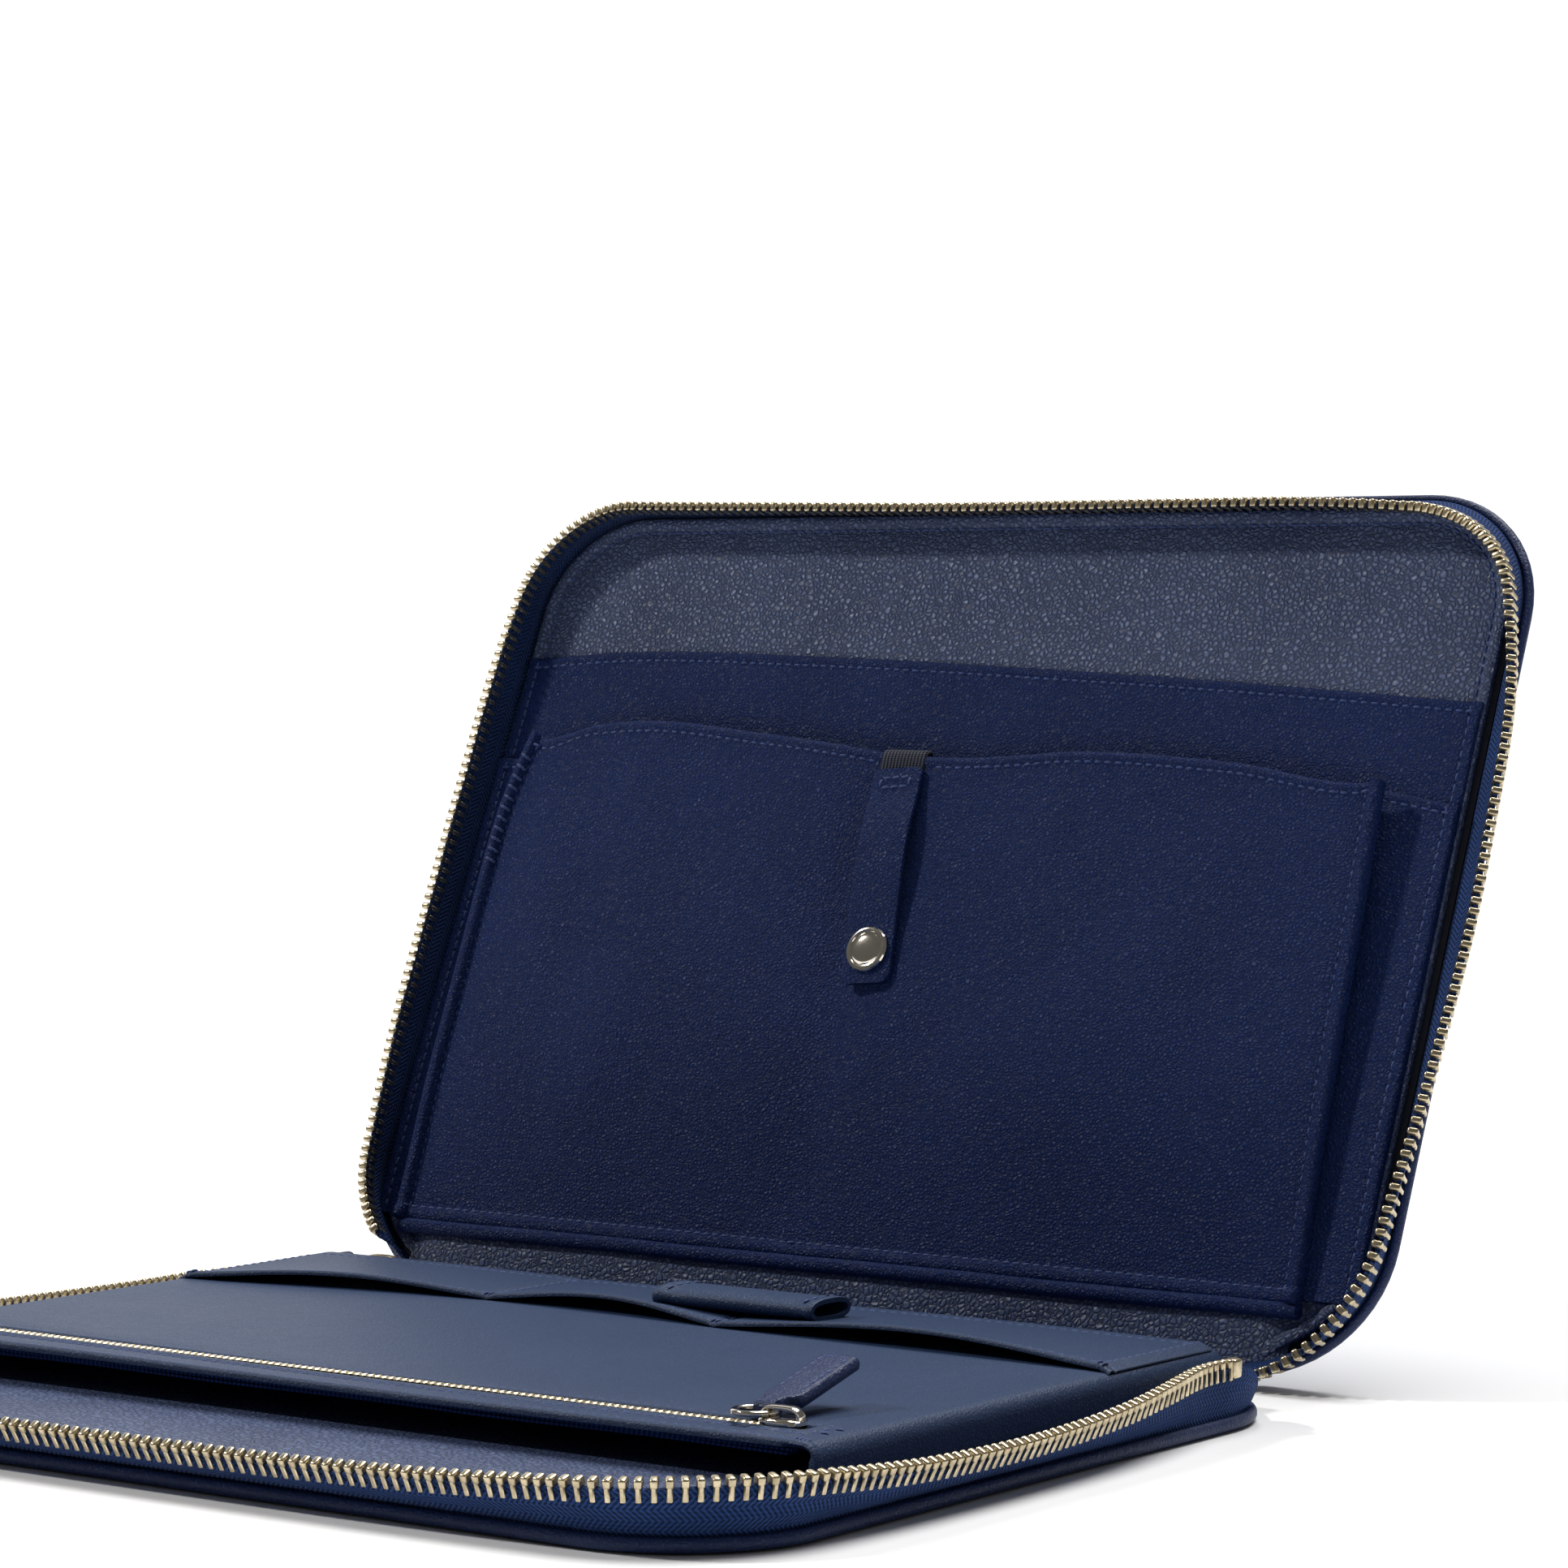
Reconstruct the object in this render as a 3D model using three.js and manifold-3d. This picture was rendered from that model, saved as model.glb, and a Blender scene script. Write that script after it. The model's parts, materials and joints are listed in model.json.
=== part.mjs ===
// Zip-around leather travel folio, open: a lower half that lies flat, an upper half (the lid) that
// leans back, and a soft spine strip between them.
//
// Millimetres, +Z up. The origin is the middle of the lower half's underside. +X runs along the spine,
// and the spine and the lid are on the +Y side. Each half is modelled lying flat and face up, with its
// own origin at the middle of its underside, and is then placed by a group.

import * as THREE from 'three';
import { mergeVertices } from 'three/addons/utils/BufferGeometryUtils.js';
import Module from 'manifold-3d';

const wasm = await Module();
wasm.setup();

// ---- driving dimensions -------------------------------------------------------------------------

const CASE_WIDTH = 274;
const CASE_DEPTH = 204;
const CORNER_RADIUS = 30;
const GAP = 0.3;

const SPINE_SPAN = 24.5;
const HINGE_HEIGHT = 2;
const LID_ANGLE = 66;

const LEATHER = 1.2;
const BOARD = 1.2;
const LINING = 0.8;

const RIM_WIDTH = 1.8;
const RIM_HEIGHT = 2.8;
const TAPE_THICKNESS = 0.8;
const TAPE_TOP = 11;
const TEETH_WIDTH = 2.4;
const TEETH_TOP = 13.8;
const END_STOP_ARC = 4;

// Where each half's zip ends, as angles round the rear corners: 0 at the side, 90 at the rear. The
// lower half's right end stops short and its tape runs on a little as a flap.
const LEFT_ZIP_END = 50;
const LOWER_RIGHT_ENDS = { teeth: 22, tape: 50 };
const LID_RIGHT_ENDS = { teeth: 82, tape: 88 };

const POCKET_HALF_WIDTH = 120;
const POCKET_FRONT = -49;
const POCKET_REAR = 96;
const POCKET_TOP = 11.7;
const GUSSET = 1;

const ZIP_WINDOW_Y = -36;
const ZIP_WINDOW_WIDTH = 8;
const ZIP_WINDOW_LEFT = -104;
const ZIP_WINDOW_RIGHT = 110;
const SLIDER_X = 104;
const INNER_PULL_LIFT = 15;

const PANEL_SLIP_THICKNESS = 0.9;
const SLIP_THICKNESS = 1;
const SLIP_HALF_WIDTH = 126;
const SLIP_BOTTOM = -86;
const FRONT_POCKET_BOTTOM = -87.5;
const FRONT_POCKET_THICKNESS = 1.1;
const FRONT_POCKET_DEPTH = 4.4;
const FRONT_POCKET_HEIGHT = 124.5;

const STRAP_X = -8;
const STRAP_WIDTH = 13;
const STRAP_THICKNESS = 1.1;
const STRAP_PIVOT = { along: 116, out: 2.7 };
const STRAP_TURN = 5;
const SNAP_REACH = 45;
const WEBBING_TOP = 120.5;

// Levels of the layers in each half, counted up from its underside.
const BOARD_BASE = LEATHER + GAP;
const LINING_BASE = BOARD_BASE + BOARD + GAP;
const LINING_TOP = LINING_BASE + LINING;
const LAYER_INSET = RIM_WIDTH + TAPE_THICKNESS + 2 * GAP;
const TAPE_INSET = RIM_WIDTH + GAP;

const HALF_WIDTH = CASE_WIDTH / 2;
const HALF_DEPTH = CASE_DEPTH / 2;

// ---- materials ----------------------------------------------------------------------------------

const leather = new THREE.MeshStandardMaterial({ color: 0x27396b, roughness: 0.55, metalness: 0 });
const liningLeather = new THREE.MeshStandardMaterial({ color: 0x1c2850, roughness: 0.4, metalness: 0 });
const board = new THREE.MeshStandardMaterial({ color: 0x8d8577, roughness: 0.9, metalness: 0 });
const tape = new THREE.MeshStandardMaterial({ color: 0x1d3266, roughness: 0.85, metalness: 0 });
const webbing = new THREE.MeshStandardMaterial({ color: 0x121722, roughness: 0.9, metalness: 0 });
const paleGold = new THREE.MeshStandardMaterial({ color: 0xc9bd98, roughness: 0.3, metalness: 1 });
const nickel = new THREE.MeshStandardMaterial({ color: 0xd2cdc2, roughness: 0.15, metalness: 1 });

// ---- helpers ------------------------------------------------------------------------------------

const radians = THREE.MathUtils.degToRad;

function mesh(name, geometry, material) {
    const made = new THREE.Mesh(geometry, material);
    made.name = name;
    return made;
}

function placed(object, x, y, z) {
    object.position.set(x, y, z);
    return object;
}

function group(...children) {
    const made = new THREE.Group();
    made.add(...children);
    return made;
}

/** A flat shape in the XY plane, raised from one level to another. */
function plate(shape, low, high, curveSegments = 6) {
    const options = { depth: high - low, bevelEnabled: false, curveSegments };
    return new THREE.ExtrudeGeometry(shape, options).translate(0, 0, low);
}

/** A profile drawn in the YZ plane, made into a bar that runs along X from one place to another. */
function barAlongX(profile, left, right, curveSegments = 8) {
    const options = { depth: right - left, bevelEnabled: false, curveSegments };
    const bar = new THREE.ExtrudeGeometry(profile, options);
    return bar.rotateZ(Math.PI / 2).rotateY(Math.PI / 2).translate(left, 0, 0);
}

/** A box given by its lowest and highest corners. */
function block(low, high) {
    const size = high.map((value, axis) => value - low[axis]);
    const middle = high.map((value, axis) => (value + low[axis]) / 2);
    return new THREE.BoxGeometry(...size).translate(...middle);
}

function polygon(points) {
    return new THREE.Shape(points.map(([x, y]) => new THREE.Vector2(x, y)));
}

function toManifold(geometry) {
    const bare = geometry.clone();
    bare.deleteAttribute('normal');
    bare.deleteAttribute('uv');
    const merged = mergeVertices(bare, 1e-4);
    const vertProperties = new Float32Array(merged.attributes.position.array);
    const triVerts = new Uint32Array(merged.index.array);
    return new wasm.Manifold(new wasm.Mesh({ numProp: 3, vertProperties, triVerts }));
}

function toGeometry(manifold) {
    const result = manifold.getMesh();
    const geometry = new THREE.BufferGeometry();
    geometry.setAttribute('position', new THREE.Float32BufferAttribute(result.vertProperties, 3));
    geometry.setIndex(new THREE.Uint32BufferAttribute(result.triVerts, 1));
    return geometry;
}

function joined(...geometries) {
    return toGeometry(geometries.map(toManifold).reduce((whole, piece) => whole.add(piece)));
}

function cut(geometry, ...tools) {
    const solid = toManifold(geometry);
    return toGeometry(tools.map(toManifold).reduce((whole, tool) => whole.subtract(tool), solid));
}

/** A rectangle with round corners, centred on the origin. */
function roundedRectangle(halfWidth, halfDepth, radius) {
    const shape = new THREE.Shape();
    shape.moveTo(halfWidth, -halfDepth + radius);
    shape.lineTo(halfWidth, halfDepth - radius);
    shape.absarc(halfWidth - radius, halfDepth - radius, radius, 0, Math.PI / 2);
    shape.absarc(-halfWidth + radius, halfDepth - radius, radius, Math.PI / 2, Math.PI);
    shape.absarc(-halfWidth + radius, -halfDepth + radius, radius, Math.PI, 1.5 * Math.PI);
    shape.absarc(halfWidth - radius, -halfDepth + radius, radius, 1.5 * Math.PI, 2 * Math.PI);
    return shape;
}

/** The outline of one half, moved in from the edge. */
function caseOutline(inset) {
    return roundedRectangle(HALF_WIDTH - inset, HALF_DEPTH - inset, CORNER_RADIUS - inset);
}

/**
 * A strip that follows the edge of a half from the rear left corner, round the front, to the rear
 * right corner. The ends are angles round those corners: 0 at the side, 90 at the rear.
 */
function edgeStrip(inset, width, leftEnd, rightEnd) {
    const x = HALF_WIDTH - CORNER_RADIUS;
    const y = HALF_DEPTH - CORNER_RADIUS;
    const outer = CORNER_RADIUS - inset;
    const inner = outer - width;
    const left = Math.PI - radians(leftEnd);
    const right = radians(rightEnd);
    const shape = new THREE.Shape();
    shape.absarc(-x, y, outer, left, Math.PI, false);
    shape.absarc(-x, -y, outer, Math.PI, 1.5 * Math.PI, false);
    shape.absarc(x, -y, outer, 1.5 * Math.PI, 2 * Math.PI, false);
    shape.absarc(x, y, outer, 0, right, false);
    shape.absarc(x, y, inner, right, 0, true);
    shape.absarc(x, -y, inner, 2 * Math.PI, 1.5 * Math.PI, true);
    shape.absarc(-x, -y, inner, 1.5 * Math.PI, Math.PI, true);
    shape.absarc(-x, y, inner, Math.PI, left, true);
    return shape;
}

/** A short piece of such a strip, round the rear right corner from one angle to another. */
function rearRightArc(inset, width, from, to) {
    const x = HALF_WIDTH - CORNER_RADIUS;
    const y = HALF_DEPTH - CORNER_RADIUS;
    const outer = CORNER_RADIUS - inset;
    const shape = new THREE.Shape();
    shape.absarc(x, y, outer, radians(from), radians(to), false);
    shape.absarc(x, y, outer - width, radians(to), radians(from), true);
    return shape;
}

/** A flat pocket leaf with straight sides and a soft wavy top edge through the given points. */
function pocketLeaf(bottom, left, right, topEdge) {
    const shape = new THREE.Shape();
    shape.moveTo(left, bottom);
    shape.lineTo(right, bottom);
    shape.lineTo(...topEdge[0]);
    shape.splineThru(topEdge.slice(1).map(([x, y]) => new THREE.Vector2(x, y)));
    return shape;
}

/** A ring of round wire lying flat. */
function wireRing(ringRadius, wireRadius) {
    const section = [];
    const steps = 8;
    for (let i = 0; i <= steps; i++) {
        const turn = (i % steps) * 2 * Math.PI / steps;
        const radius = ringRadius + wireRadius * Math.cos(turn);
        section.push(new THREE.Vector2(radius, wireRadius * Math.sin(turn)));
    }
    return toGeometry(toManifold(new THREE.LatheGeometry(section, 24).rotateX(Math.PI / 2)));
}

/** A round disc or stepped stud: pairs of radius and level, turned about Z. */
function turned(profile, segments = 20) {
    const points = profile.map(([radius, level]) => new THREE.Vector2(radius, level));
    return new THREE.LatheGeometry(points, segments).rotateX(Math.PI / 2);
}

// ---- the shell of one half ----------------------------------------------------------------------

/** Cover with its rolled rim, stiffener, lining and one side of the zip. The rear edge is open. */
function halfShell(prefix, rightEnds) {
    const end = 90;
    const rim = plate(edgeStrip(0, RIM_WIDTH, end, end), 0, RIM_HEIGHT);
    const cover = joined(plate(caseOutline(0), 0, LEATHER), rim);
    const stiffener = plate(caseOutline(LAYER_INSET), BOARD_BASE, BOARD_BASE + BOARD);
    const inside = plate(caseOutline(LAYER_INSET), LINING_BASE, LINING_TOP);
    const tapeStrip = edgeStrip(TAPE_INSET, TAPE_THICKNESS, LEFT_ZIP_END, rightEnds.tape);
    const teethInset = TAPE_INSET + (TAPE_THICKNESS - TEETH_WIDTH) / 2;
    const teethStrip = edgeStrip(teethInset, TEETH_WIDTH, LEFT_ZIP_END, rightEnds.teeth);
    const stopFrom = rightEnds.teeth + 1;
    const stopStrip = rearRightArc(teethInset, TEETH_WIDTH, stopFrom, stopFrom + END_STOP_ARC);
    return group(
        mesh(`${prefix}_cover`, cover, leather),
        mesh(`${prefix}_board`, stiffener, board),
        mesh(`${prefix}_lining`, inside, liningLeather),
        mesh(`${prefix}_zip_tape`, plate(tapeStrip, BOARD_BASE, TAPE_TOP), tape),
        mesh(`${prefix}_zip_teeth`, plate(teethStrip, TAPE_TOP + GAP, TEETH_TOP), paleGold),
        mesh(`${prefix}_zip_end_stop`, plate(stopStrip, TAPE_TOP + GAP, TEETH_TOP), paleGold),
    );
}

// ---- lower half: tablet pocket, zip pocket, slip pockets, pen loop -------------------------------

function tabletPocket() {
    const low = LINING_TOP + GAP;
    const panelBase = POCKET_TOP - LEATHER;
    const high = panelBase - GAP;
    const side = POCKET_HALF_WIDTH;
    const rearLow = POCKET_REAR - GUSSET;
    const cornerRadius = 7;
    const depth = POCKET_REAR - POCKET_FRONT;
    const middle = (POCKET_REAR + POCKET_FRONT) / 2;
    const outline = roundedRectangle(side, depth / 2, cornerRadius);
    const window = block(
        [ZIP_WINDOW_LEFT, ZIP_WINDOW_Y - ZIP_WINDOW_WIDTH / 2, panelBase - 1],
        [ZIP_WINDOW_RIGHT, ZIP_WINDOW_Y + ZIP_WINDOW_WIDTH / 2, POCKET_TOP + 1],
    );
    const panel = cut(plate(outline, panelBase, POCKET_TOP).translate(0, middle, 0), window);
    const sideFront = POCKET_FRONT + cornerRadius;
    const sideRear = POCKET_REAR - cornerRadius;
    const inset = 0.6;
    const sideGusset = (x) => block([x, sideFront, low], [x + GUSSET, sideRear, high]);
    const rearHalf = side - cornerRadius;
    const rearGusset = block([-rearHalf, rearLow - inset, low], [rearHalf, POCKET_REAR - inset, high]);
    return group(
        mesh('pocket_gusset_left', sideGusset(-side + inset), leather),
        mesh('pocket_gusset_right', sideGusset(side - inset - GUSSET), leather),
        mesh('pocket_gusset_rear', rearGusset, leather),
        mesh('pocket_panel', panel, leather),
    );
}

function zipPocket() {
    const clothThickness = 0.5;
    const tapeTop = POCKET_TOP - LEATHER - GAP;
    const tapeBase = tapeTop - clothThickness;
    const chainHalf = 1;
    const tapeReach = 10;
    const tapeOverrun = 4;
    const bagTop = tapeBase - GAP;
    const bagSideMargin = 8;
    const bagFrontMargin = 3;
    const bagRear = 36;
    const zipTape = (low, high) => block(
        [ZIP_WINDOW_LEFT - tapeOverrun, low, tapeBase],
        [ZIP_WINDOW_RIGHT + tapeOverrun, high, tapeTop],
    );
    const chainTop = POCKET_TOP;
    const near = ZIP_WINDOW_Y - chainHalf - GAP;
    const far = ZIP_WINDOW_Y + chainHalf + GAP;
    const stopLength = 1.6;
    const chain = (left, right) => block(
        [left, ZIP_WINDOW_Y - chainHalf, tapeBase],
        [right, ZIP_WINDOW_Y + chainHalf, chainTop],
    );
    const left = ZIP_WINDOW_LEFT + GAP;
    const right = ZIP_WINDOW_RIGHT - GAP;
    const bagHalf = POCKET_HALF_WIDTH - bagSideMargin;
    const bag = block(
        [-bagHalf, POCKET_FRONT + bagFrontMargin, bagTop - clothThickness],
        [bagHalf, bagRear, bagTop],
    );
    return group(
        mesh('inner_zip_tape_front', zipTape(near - tapeReach, near), tape),
        mesh('inner_zip_tape_rear', zipTape(far, far + tapeReach), tape),
        mesh('inner_zip_stop_left', chain(left, left + stopLength), paleGold),
        mesh('inner_zip_chain', chain(left + stopLength + GAP, right - stopLength - GAP), paleGold),
        mesh('inner_zip_stop_right', chain(right - stopLength, right), paleGold),
        mesh('zip_pocket_backing', bag, tape),
    );
}

/** One leaf over the rear of the panel. Seams part it into three slip pockets with bowed mouths. */
function slipPockets() {
    const low = POCKET_TOP + GAP;
    const margin = 3;
    const side = POCKET_HALF_WIDTH - margin;
    const rear = POCKET_REAR - margin;
    const dip = 3;
    const seams = [[-side, 46], [-42, 60], [20, 58], [side, 54]];
    const shape = new THREE.Shape();
    shape.moveTo(side, rear);
    shape.lineTo(-side, rear);
    shape.lineTo(...seams[0]);
    for (let i = 1; i < seams.length; i++) {
        const [fromX, fromY] = seams[i - 1];
        const [toX, toY] = seams[i];
        shape.quadraticCurveTo((fromX + toX) / 2, (fromY + toY) / 2 + dip, toX, toY);
    }
    return mesh('slip_pocket_panel', plate(shape, low, low + PANEL_SLIP_THICKNESS), leather);
}

/** A flattened leather tube that lies on the slip leaf, open at both ends. */
function penLoop() {
    const base = POCKET_TOP + 2 * GAP + PANEL_SLIP_THICKNESS;
    const left = -1;
    const right = 40;
    const middleY = 72.5;
    const halfWidth = 6.6;
    const height = 6.1;
    const wall = 0.8;
    const radius = 3;
    const profile = roundedRectangle(halfWidth, height / 2, radius);
    profile.holes.push(roundedRectangle(halfWidth - wall, height / 2 - wall, radius - wall));
    const tube = barAlongX(profile, left, right, 4);
    return mesh('pen_loop', tube.translate(0, middleY, base + height / 2), leather);
}

// ---- zip sliders and their pulls -----------------------------------------------------------------

/** A slider with an arched crown, its underside at level 0, with the zip running along X. */
function sliderBody(length, width, thickness, crownHeight) {
    const outline = roundedRectangle(length / 2, width / 2, width * 0.3);
    const body = plate(outline, 0, thickness);
    const leg = 1;
    const halfWidth = 1.1;
    const reach = length / 2 - 0.6;
    const foot = thickness - 0.2;
    const top = thickness + crownHeight;
    const arch = joined(
        block([-reach, -halfWidth, foot], [-reach + leg, halfWidth, top]),
        block([reach - leg, -halfWidth, foot], [reach, halfWidth, top]),
        block([-reach, -halfWidth, top - leg], [reach, halfWidth, top]),
    );
    return joined(body, arch);
}

/** A folded leather tab whose eye turns on a wire along X at the origin; the tab points along +Y. */
function pullTab(eyeHole, eyeWidth, length, width, thickness, drop) {
    const wall = 0.8;
    const eye = new THREE.Shape();
    eye.absarc(0, 0, eyeHole + wall, 0, 2 * Math.PI);
    const hole = new THREE.Path();
    hole.absarc(0, 0, eyeHole, 0, 2 * Math.PI, true);
    eye.holes.push(hole);
    const ring = barAlongX(eye, -eyeWidth / 2, eyeWidth / 2, 7);
    const neck = block(
        [-eyeWidth / 2, eyeHole + wall / 2, drop],
        [eyeWidth / 2, eyeHole + wall + 3, drop + thickness],
    );
    const blade = roundedRectangle(width / 2, length / 2, 1.6);
    const start = eyeHole + wall + 2;
    const tail = plate(blade, drop, drop + thickness, 4).translate(0, start + length / 2, 0);
    return joined(ring, neck, tail);
}

/**
 * A slider with a wire ring round one leg of its crown. The ring lies flat towards -X of the slider.
 * Also says where the ring's middle is, from the slider's own middle.
 */
function sliderWithRing(prefix, size, ringRadius, wireRadius, metal) {
    const { length, width, thickness, crown } = size;
    const level = thickness + (crown - 1) / 2;
    const middle = -length / 2 + 2.5 - ringRadius;
    const body = mesh(`${prefix}_slider`, sliderBody(length, width, thickness, crown), metal);
    const ring = mesh(`${prefix}_ring`, wireRing(ringRadius, wireRadius), metal);
    return { parts: group(body, placed(ring, middle, 0, level)), middle, level };
}

/** The zip pocket's slider. Its leather tab rises a little from the ring's far side, towards +Y. */
function innerSlider() {
    const size = { length: 9.4, width: 6.6, thickness: 1.2, crown: 2.4 };
    const ringRadius = 4;
    const { parts, middle, level } = sliderWithRing('inner_zip', size, ringRadius, 0.55, nickel);
    const tab = mesh('inner_zip_pull', pullTab(1.05, 2.4, 21, 9, 1.8, -1.75), leather);
    tab.rotation.x = radians(INNER_PULL_LIFT);
    parts.add(placed(tab, middle, ringRadius, level));
    return placed(parts, SLIDER_X, ZIP_WINDOW_Y, POCKET_TOP + GAP);
}

/** The main slider, parked on the tape's tail behind the lower half's rear left corner. */
function mainSlider() {
    const x = -115.5;
    const y = 113;
    const tailTop = 2.4;
    const tailReach = 6;
    const tabTilt = 9;
    const size = { length: 11, width: 9, thickness: 4.6, crown: 3.1 };
    const ringRadius = 4.4;
    const { parts, middle, level } = sliderWithRing('main_zip', size, ringRadius, 0.6, paleGold);
    const tab = mesh('main_zip_pull', pullTab(1.1, 2.4, 30, 9, 1.8, -1.75).rotateZ(Math.PI / 2), leather);
    tab.rotation.y = -radians(tabTilt);
    parts.add(placed(tab, middle - ringRadius, 0, level));
    const tail = block([x - tailReach, HALF_DEPTH + GAP, 0], [x + tailReach, y + tailReach, tailTop]);
    return group(mesh('main_zip_tail', tail, tape), placed(parts, x, y, tailTop + GAP));
}

// ---- spine --------------------------------------------------------------------------------------

function spine() {
    const half = HALF_WIDTH - CORNER_RADIUS;
    const outerTop = 1;
    const strip = (low, high, inset) => block(
        [-half + inset, HALF_DEPTH + GAP, low],
        [half - inset, HALF_DEPTH + SPINE_SPAN - GAP, high],
    );
    return group(
        mesh('spine_outer', strip(0, outerTop, 0), leather),
        mesh('spine_lining', strip(outerTop + GAP, HINGE_HEIGHT, 1), liningLeather),
    );
}

// ---- lid pockets, cable strap and snap -----------------------------------------------------------

const REAR_SLIP_BASE = LINING_TOP + GAP;
const MIDDLE_SLIP_BASE = REAR_SLIP_BASE + SLIP_THICKNESS + GAP;
const FRONT_POCKET_BASE = MIDDLE_SLIP_BASE + SLIP_THICKNESS + GAP;
const FRONT_SLOPE = Math.atan(FRONT_POCKET_DEPTH / FRONT_POCKET_HEIGHT);

function lidSlipPockets() {
    const side = SLIP_HALF_WIDTH;
    const rearTop = [[side, 50.3], [44, 56.2], [-47, 60.3], [-106, 60.8], [-side, 59.5]];
    const middleTop = [[side, 30.5], [40, 33], [-50, 34], [-side, 33.5]];
    const leaf = (name, topEdge, base) => mesh(
        name,
        plate(pocketLeaf(SLIP_BOTTOM, -side, side, topEdge), base, base + SLIP_THICKNESS, 4),
        leather,
    );
    return group(
        leaf('rear_slip_pocket', rearTop, REAR_SLIP_BASE),
        leaf('middle_slip_pocket', middleTop, MIDDLE_SLIP_BASE),
    );
}

/** The front pocket leaf leans out from its bottom seam, held at the sides by wedge gussets. */
function frontPocket() {
    const left = -122;
    const right = 119;
    const topRight = [114.5, 116.3];
    const wavyEdge = [[51, 121.2], [-4, 119.2], [-17, 120.3], [-39, 122.8], [-88, 126.5], [left, 124]];
    const outline = pocketLeaf(0, left, right, [topRight, ...wavyEdge]);
    const leaf = mesh('front_pocket', plate(outline, 0, FRONT_POCKET_THICKNESS, 4), leather);
    const leaning = group(leaf, cableStrap());
    leaning.rotation.x = FRONT_SLOPE;
    placed(leaning, 0, FRONT_POCKET_BOTTOM, FRONT_POCKET_BASE);
    const rise = (y) => (y - FRONT_POCKET_BOTTOM) * Math.tan(FRONT_SLOPE);
    const innerFace = (y) => FRONT_POCKET_BASE + rise(y) - GAP;
    const low = -72;
    const high = 33;
    const wedge = polygon([
        [low, FRONT_POCKET_BASE],
        [high, FRONT_POCKET_BASE],
        [high, innerFace(high)],
        [low, innerFace(low)],
    ]);
    const pipingRadius = 1.7;
    const roll = new THREE.Shape();
    roll.absarc(0, 0, pipingRadius, 0, 2 * Math.PI);
    const piping = barAlongX(roll, left + 1, right - 1, 5);
    piping.translate(0, FRONT_POCKET_BOTTOM - pipingRadius - GAP, FRONT_POCKET_BASE + pipingRadius);
    return group(
        leaning,
        mesh('front_gusset_left', barAlongX(wedge, -121.4, -120.4), leather),
        mesh('front_gusset_right', barAlongX(wedge, 112.6, 113.6), leather),
        mesh('front_pocket_piping', piping, leather),
    );
}

/** Strap, webbing and snap, in the front pocket leaf's own plane: Y along it, Z out of it. */
function cableStrap() {
    const face = FRONT_POCKET_THICKNESS;
    const halfWidth = STRAP_WIDTH / 2;
    const edge = STRAP_PIVOT.along;
    const bow = new THREE.SplineCurve([
        new THREE.Vector2(-0.5, 2.2),
        new THREE.Vector2(-6, 2.8),
        new THREE.Vector2(-15, 4.2),
        new THREE.Vector2(-26, 4.4),
        new THREE.Vector2(-38, 3.7),
        new THREE.Vector2(-SNAP_REACH, 3.5),
        new THREE.Vector2(-52.8, 3.4),
    ]).getPoints(12);
    const outside = bow.map((point) => new THREE.Vector2(point.x, point.y + STRAP_THICKNESS));
    const profile = new THREE.Shape([...bow, ...outside.reverse()]);
    const strap = barAlongX(profile, -halfWidth, halfWidth);
    const seat = face + GAP;
    const band = 0.5;
    const brim = WEBBING_TOP;
    const saddle = polygon([
        [edge - 2, -GAP - band],
        [edge - 2, -GAP],
        [brim, -GAP],
        [brim, seat],
        [edge - 4, seat],
        [edge - 4, seat + band],
        [brim + 0.6, seat + band],
        [brim + 0.6, -GAP - band],
    ]);
    const stud = turned([[0, seat], [4.4, seat], [4.4, seat + 0.5], [1.5, seat + 0.5], [1.5, 3.2], [0, 3.2]]);
    const socket = turned([[1.9, 2.2], [4.4, 2.2], [4.4, 3.2], [1.9, 3.2], [1.9, 2.2]]);
    const cap = turned([[0, 4.9], [5.3, 4.9], [5.3, 5.4], [4.2, 5.9], [0, 6]]);
    const snapAt = (made) => placed(made, 0, -SNAP_REACH, 0);
    const askew = placed(group(
        snapAt(mesh('snap_stud', stud, nickel)),
        mesh('cable_strap', strap, leather),
        snapAt(mesh('snap_socket', toGeometry(toManifold(socket)), nickel)),
        snapAt(mesh('snap_cap', cap, nickel)),
    ), STRAP_X, edge, 0);
    askew.rotation.z = radians(STRAP_TURN);
    return group(
        mesh('strap_webbing', barAlongX(saddle, STRAP_X - 6.2, STRAP_X + 6.2), webbing),
        askew,
    );
}

// ---- assembly ------------------------------------------------------------------------------------

const lowerHalf = group(
    halfShell('lower', LOWER_RIGHT_ENDS),
    tabletPocket(),
    zipPocket(),
    slipPockets(),
    penLoop(),
    innerSlider(),
    mainSlider(),
);

// The lid's shell is mirrored so that its open edge faces the spine.
const upperShell = halfShell('upper', LID_RIGHT_ENDS);
upperShell.scale.set(1, -1, 1);
const lidFlat = placed(group(lidSlipPockets(), frontPocket()), 0, HALF_DEPTH, -HINGE_HEIGHT);
lidFlat.add(upperShell);
const lid = placed(group(lidFlat), 0, HALF_DEPTH + SPINE_SPAN, HINGE_HEIGHT);
lid.rotation.x = radians(LID_ANGLE);

const folio = group(lowerHalf, spine(), lid);
folio.name = 'travel_folio';

export default folio;
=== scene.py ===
"""Looks of an open zip-around travel folio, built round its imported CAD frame.

Shapes are worked out in millimetres. The lower half's own frame is the row frame. The lid has a flat
frame of its own, as if it lay face up with its middle at the origin, and lid_place() stands it up.
A shell is drawn once, with its open edge at +Y, and the lid's is mirrored.
"""

import json
import math

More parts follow.
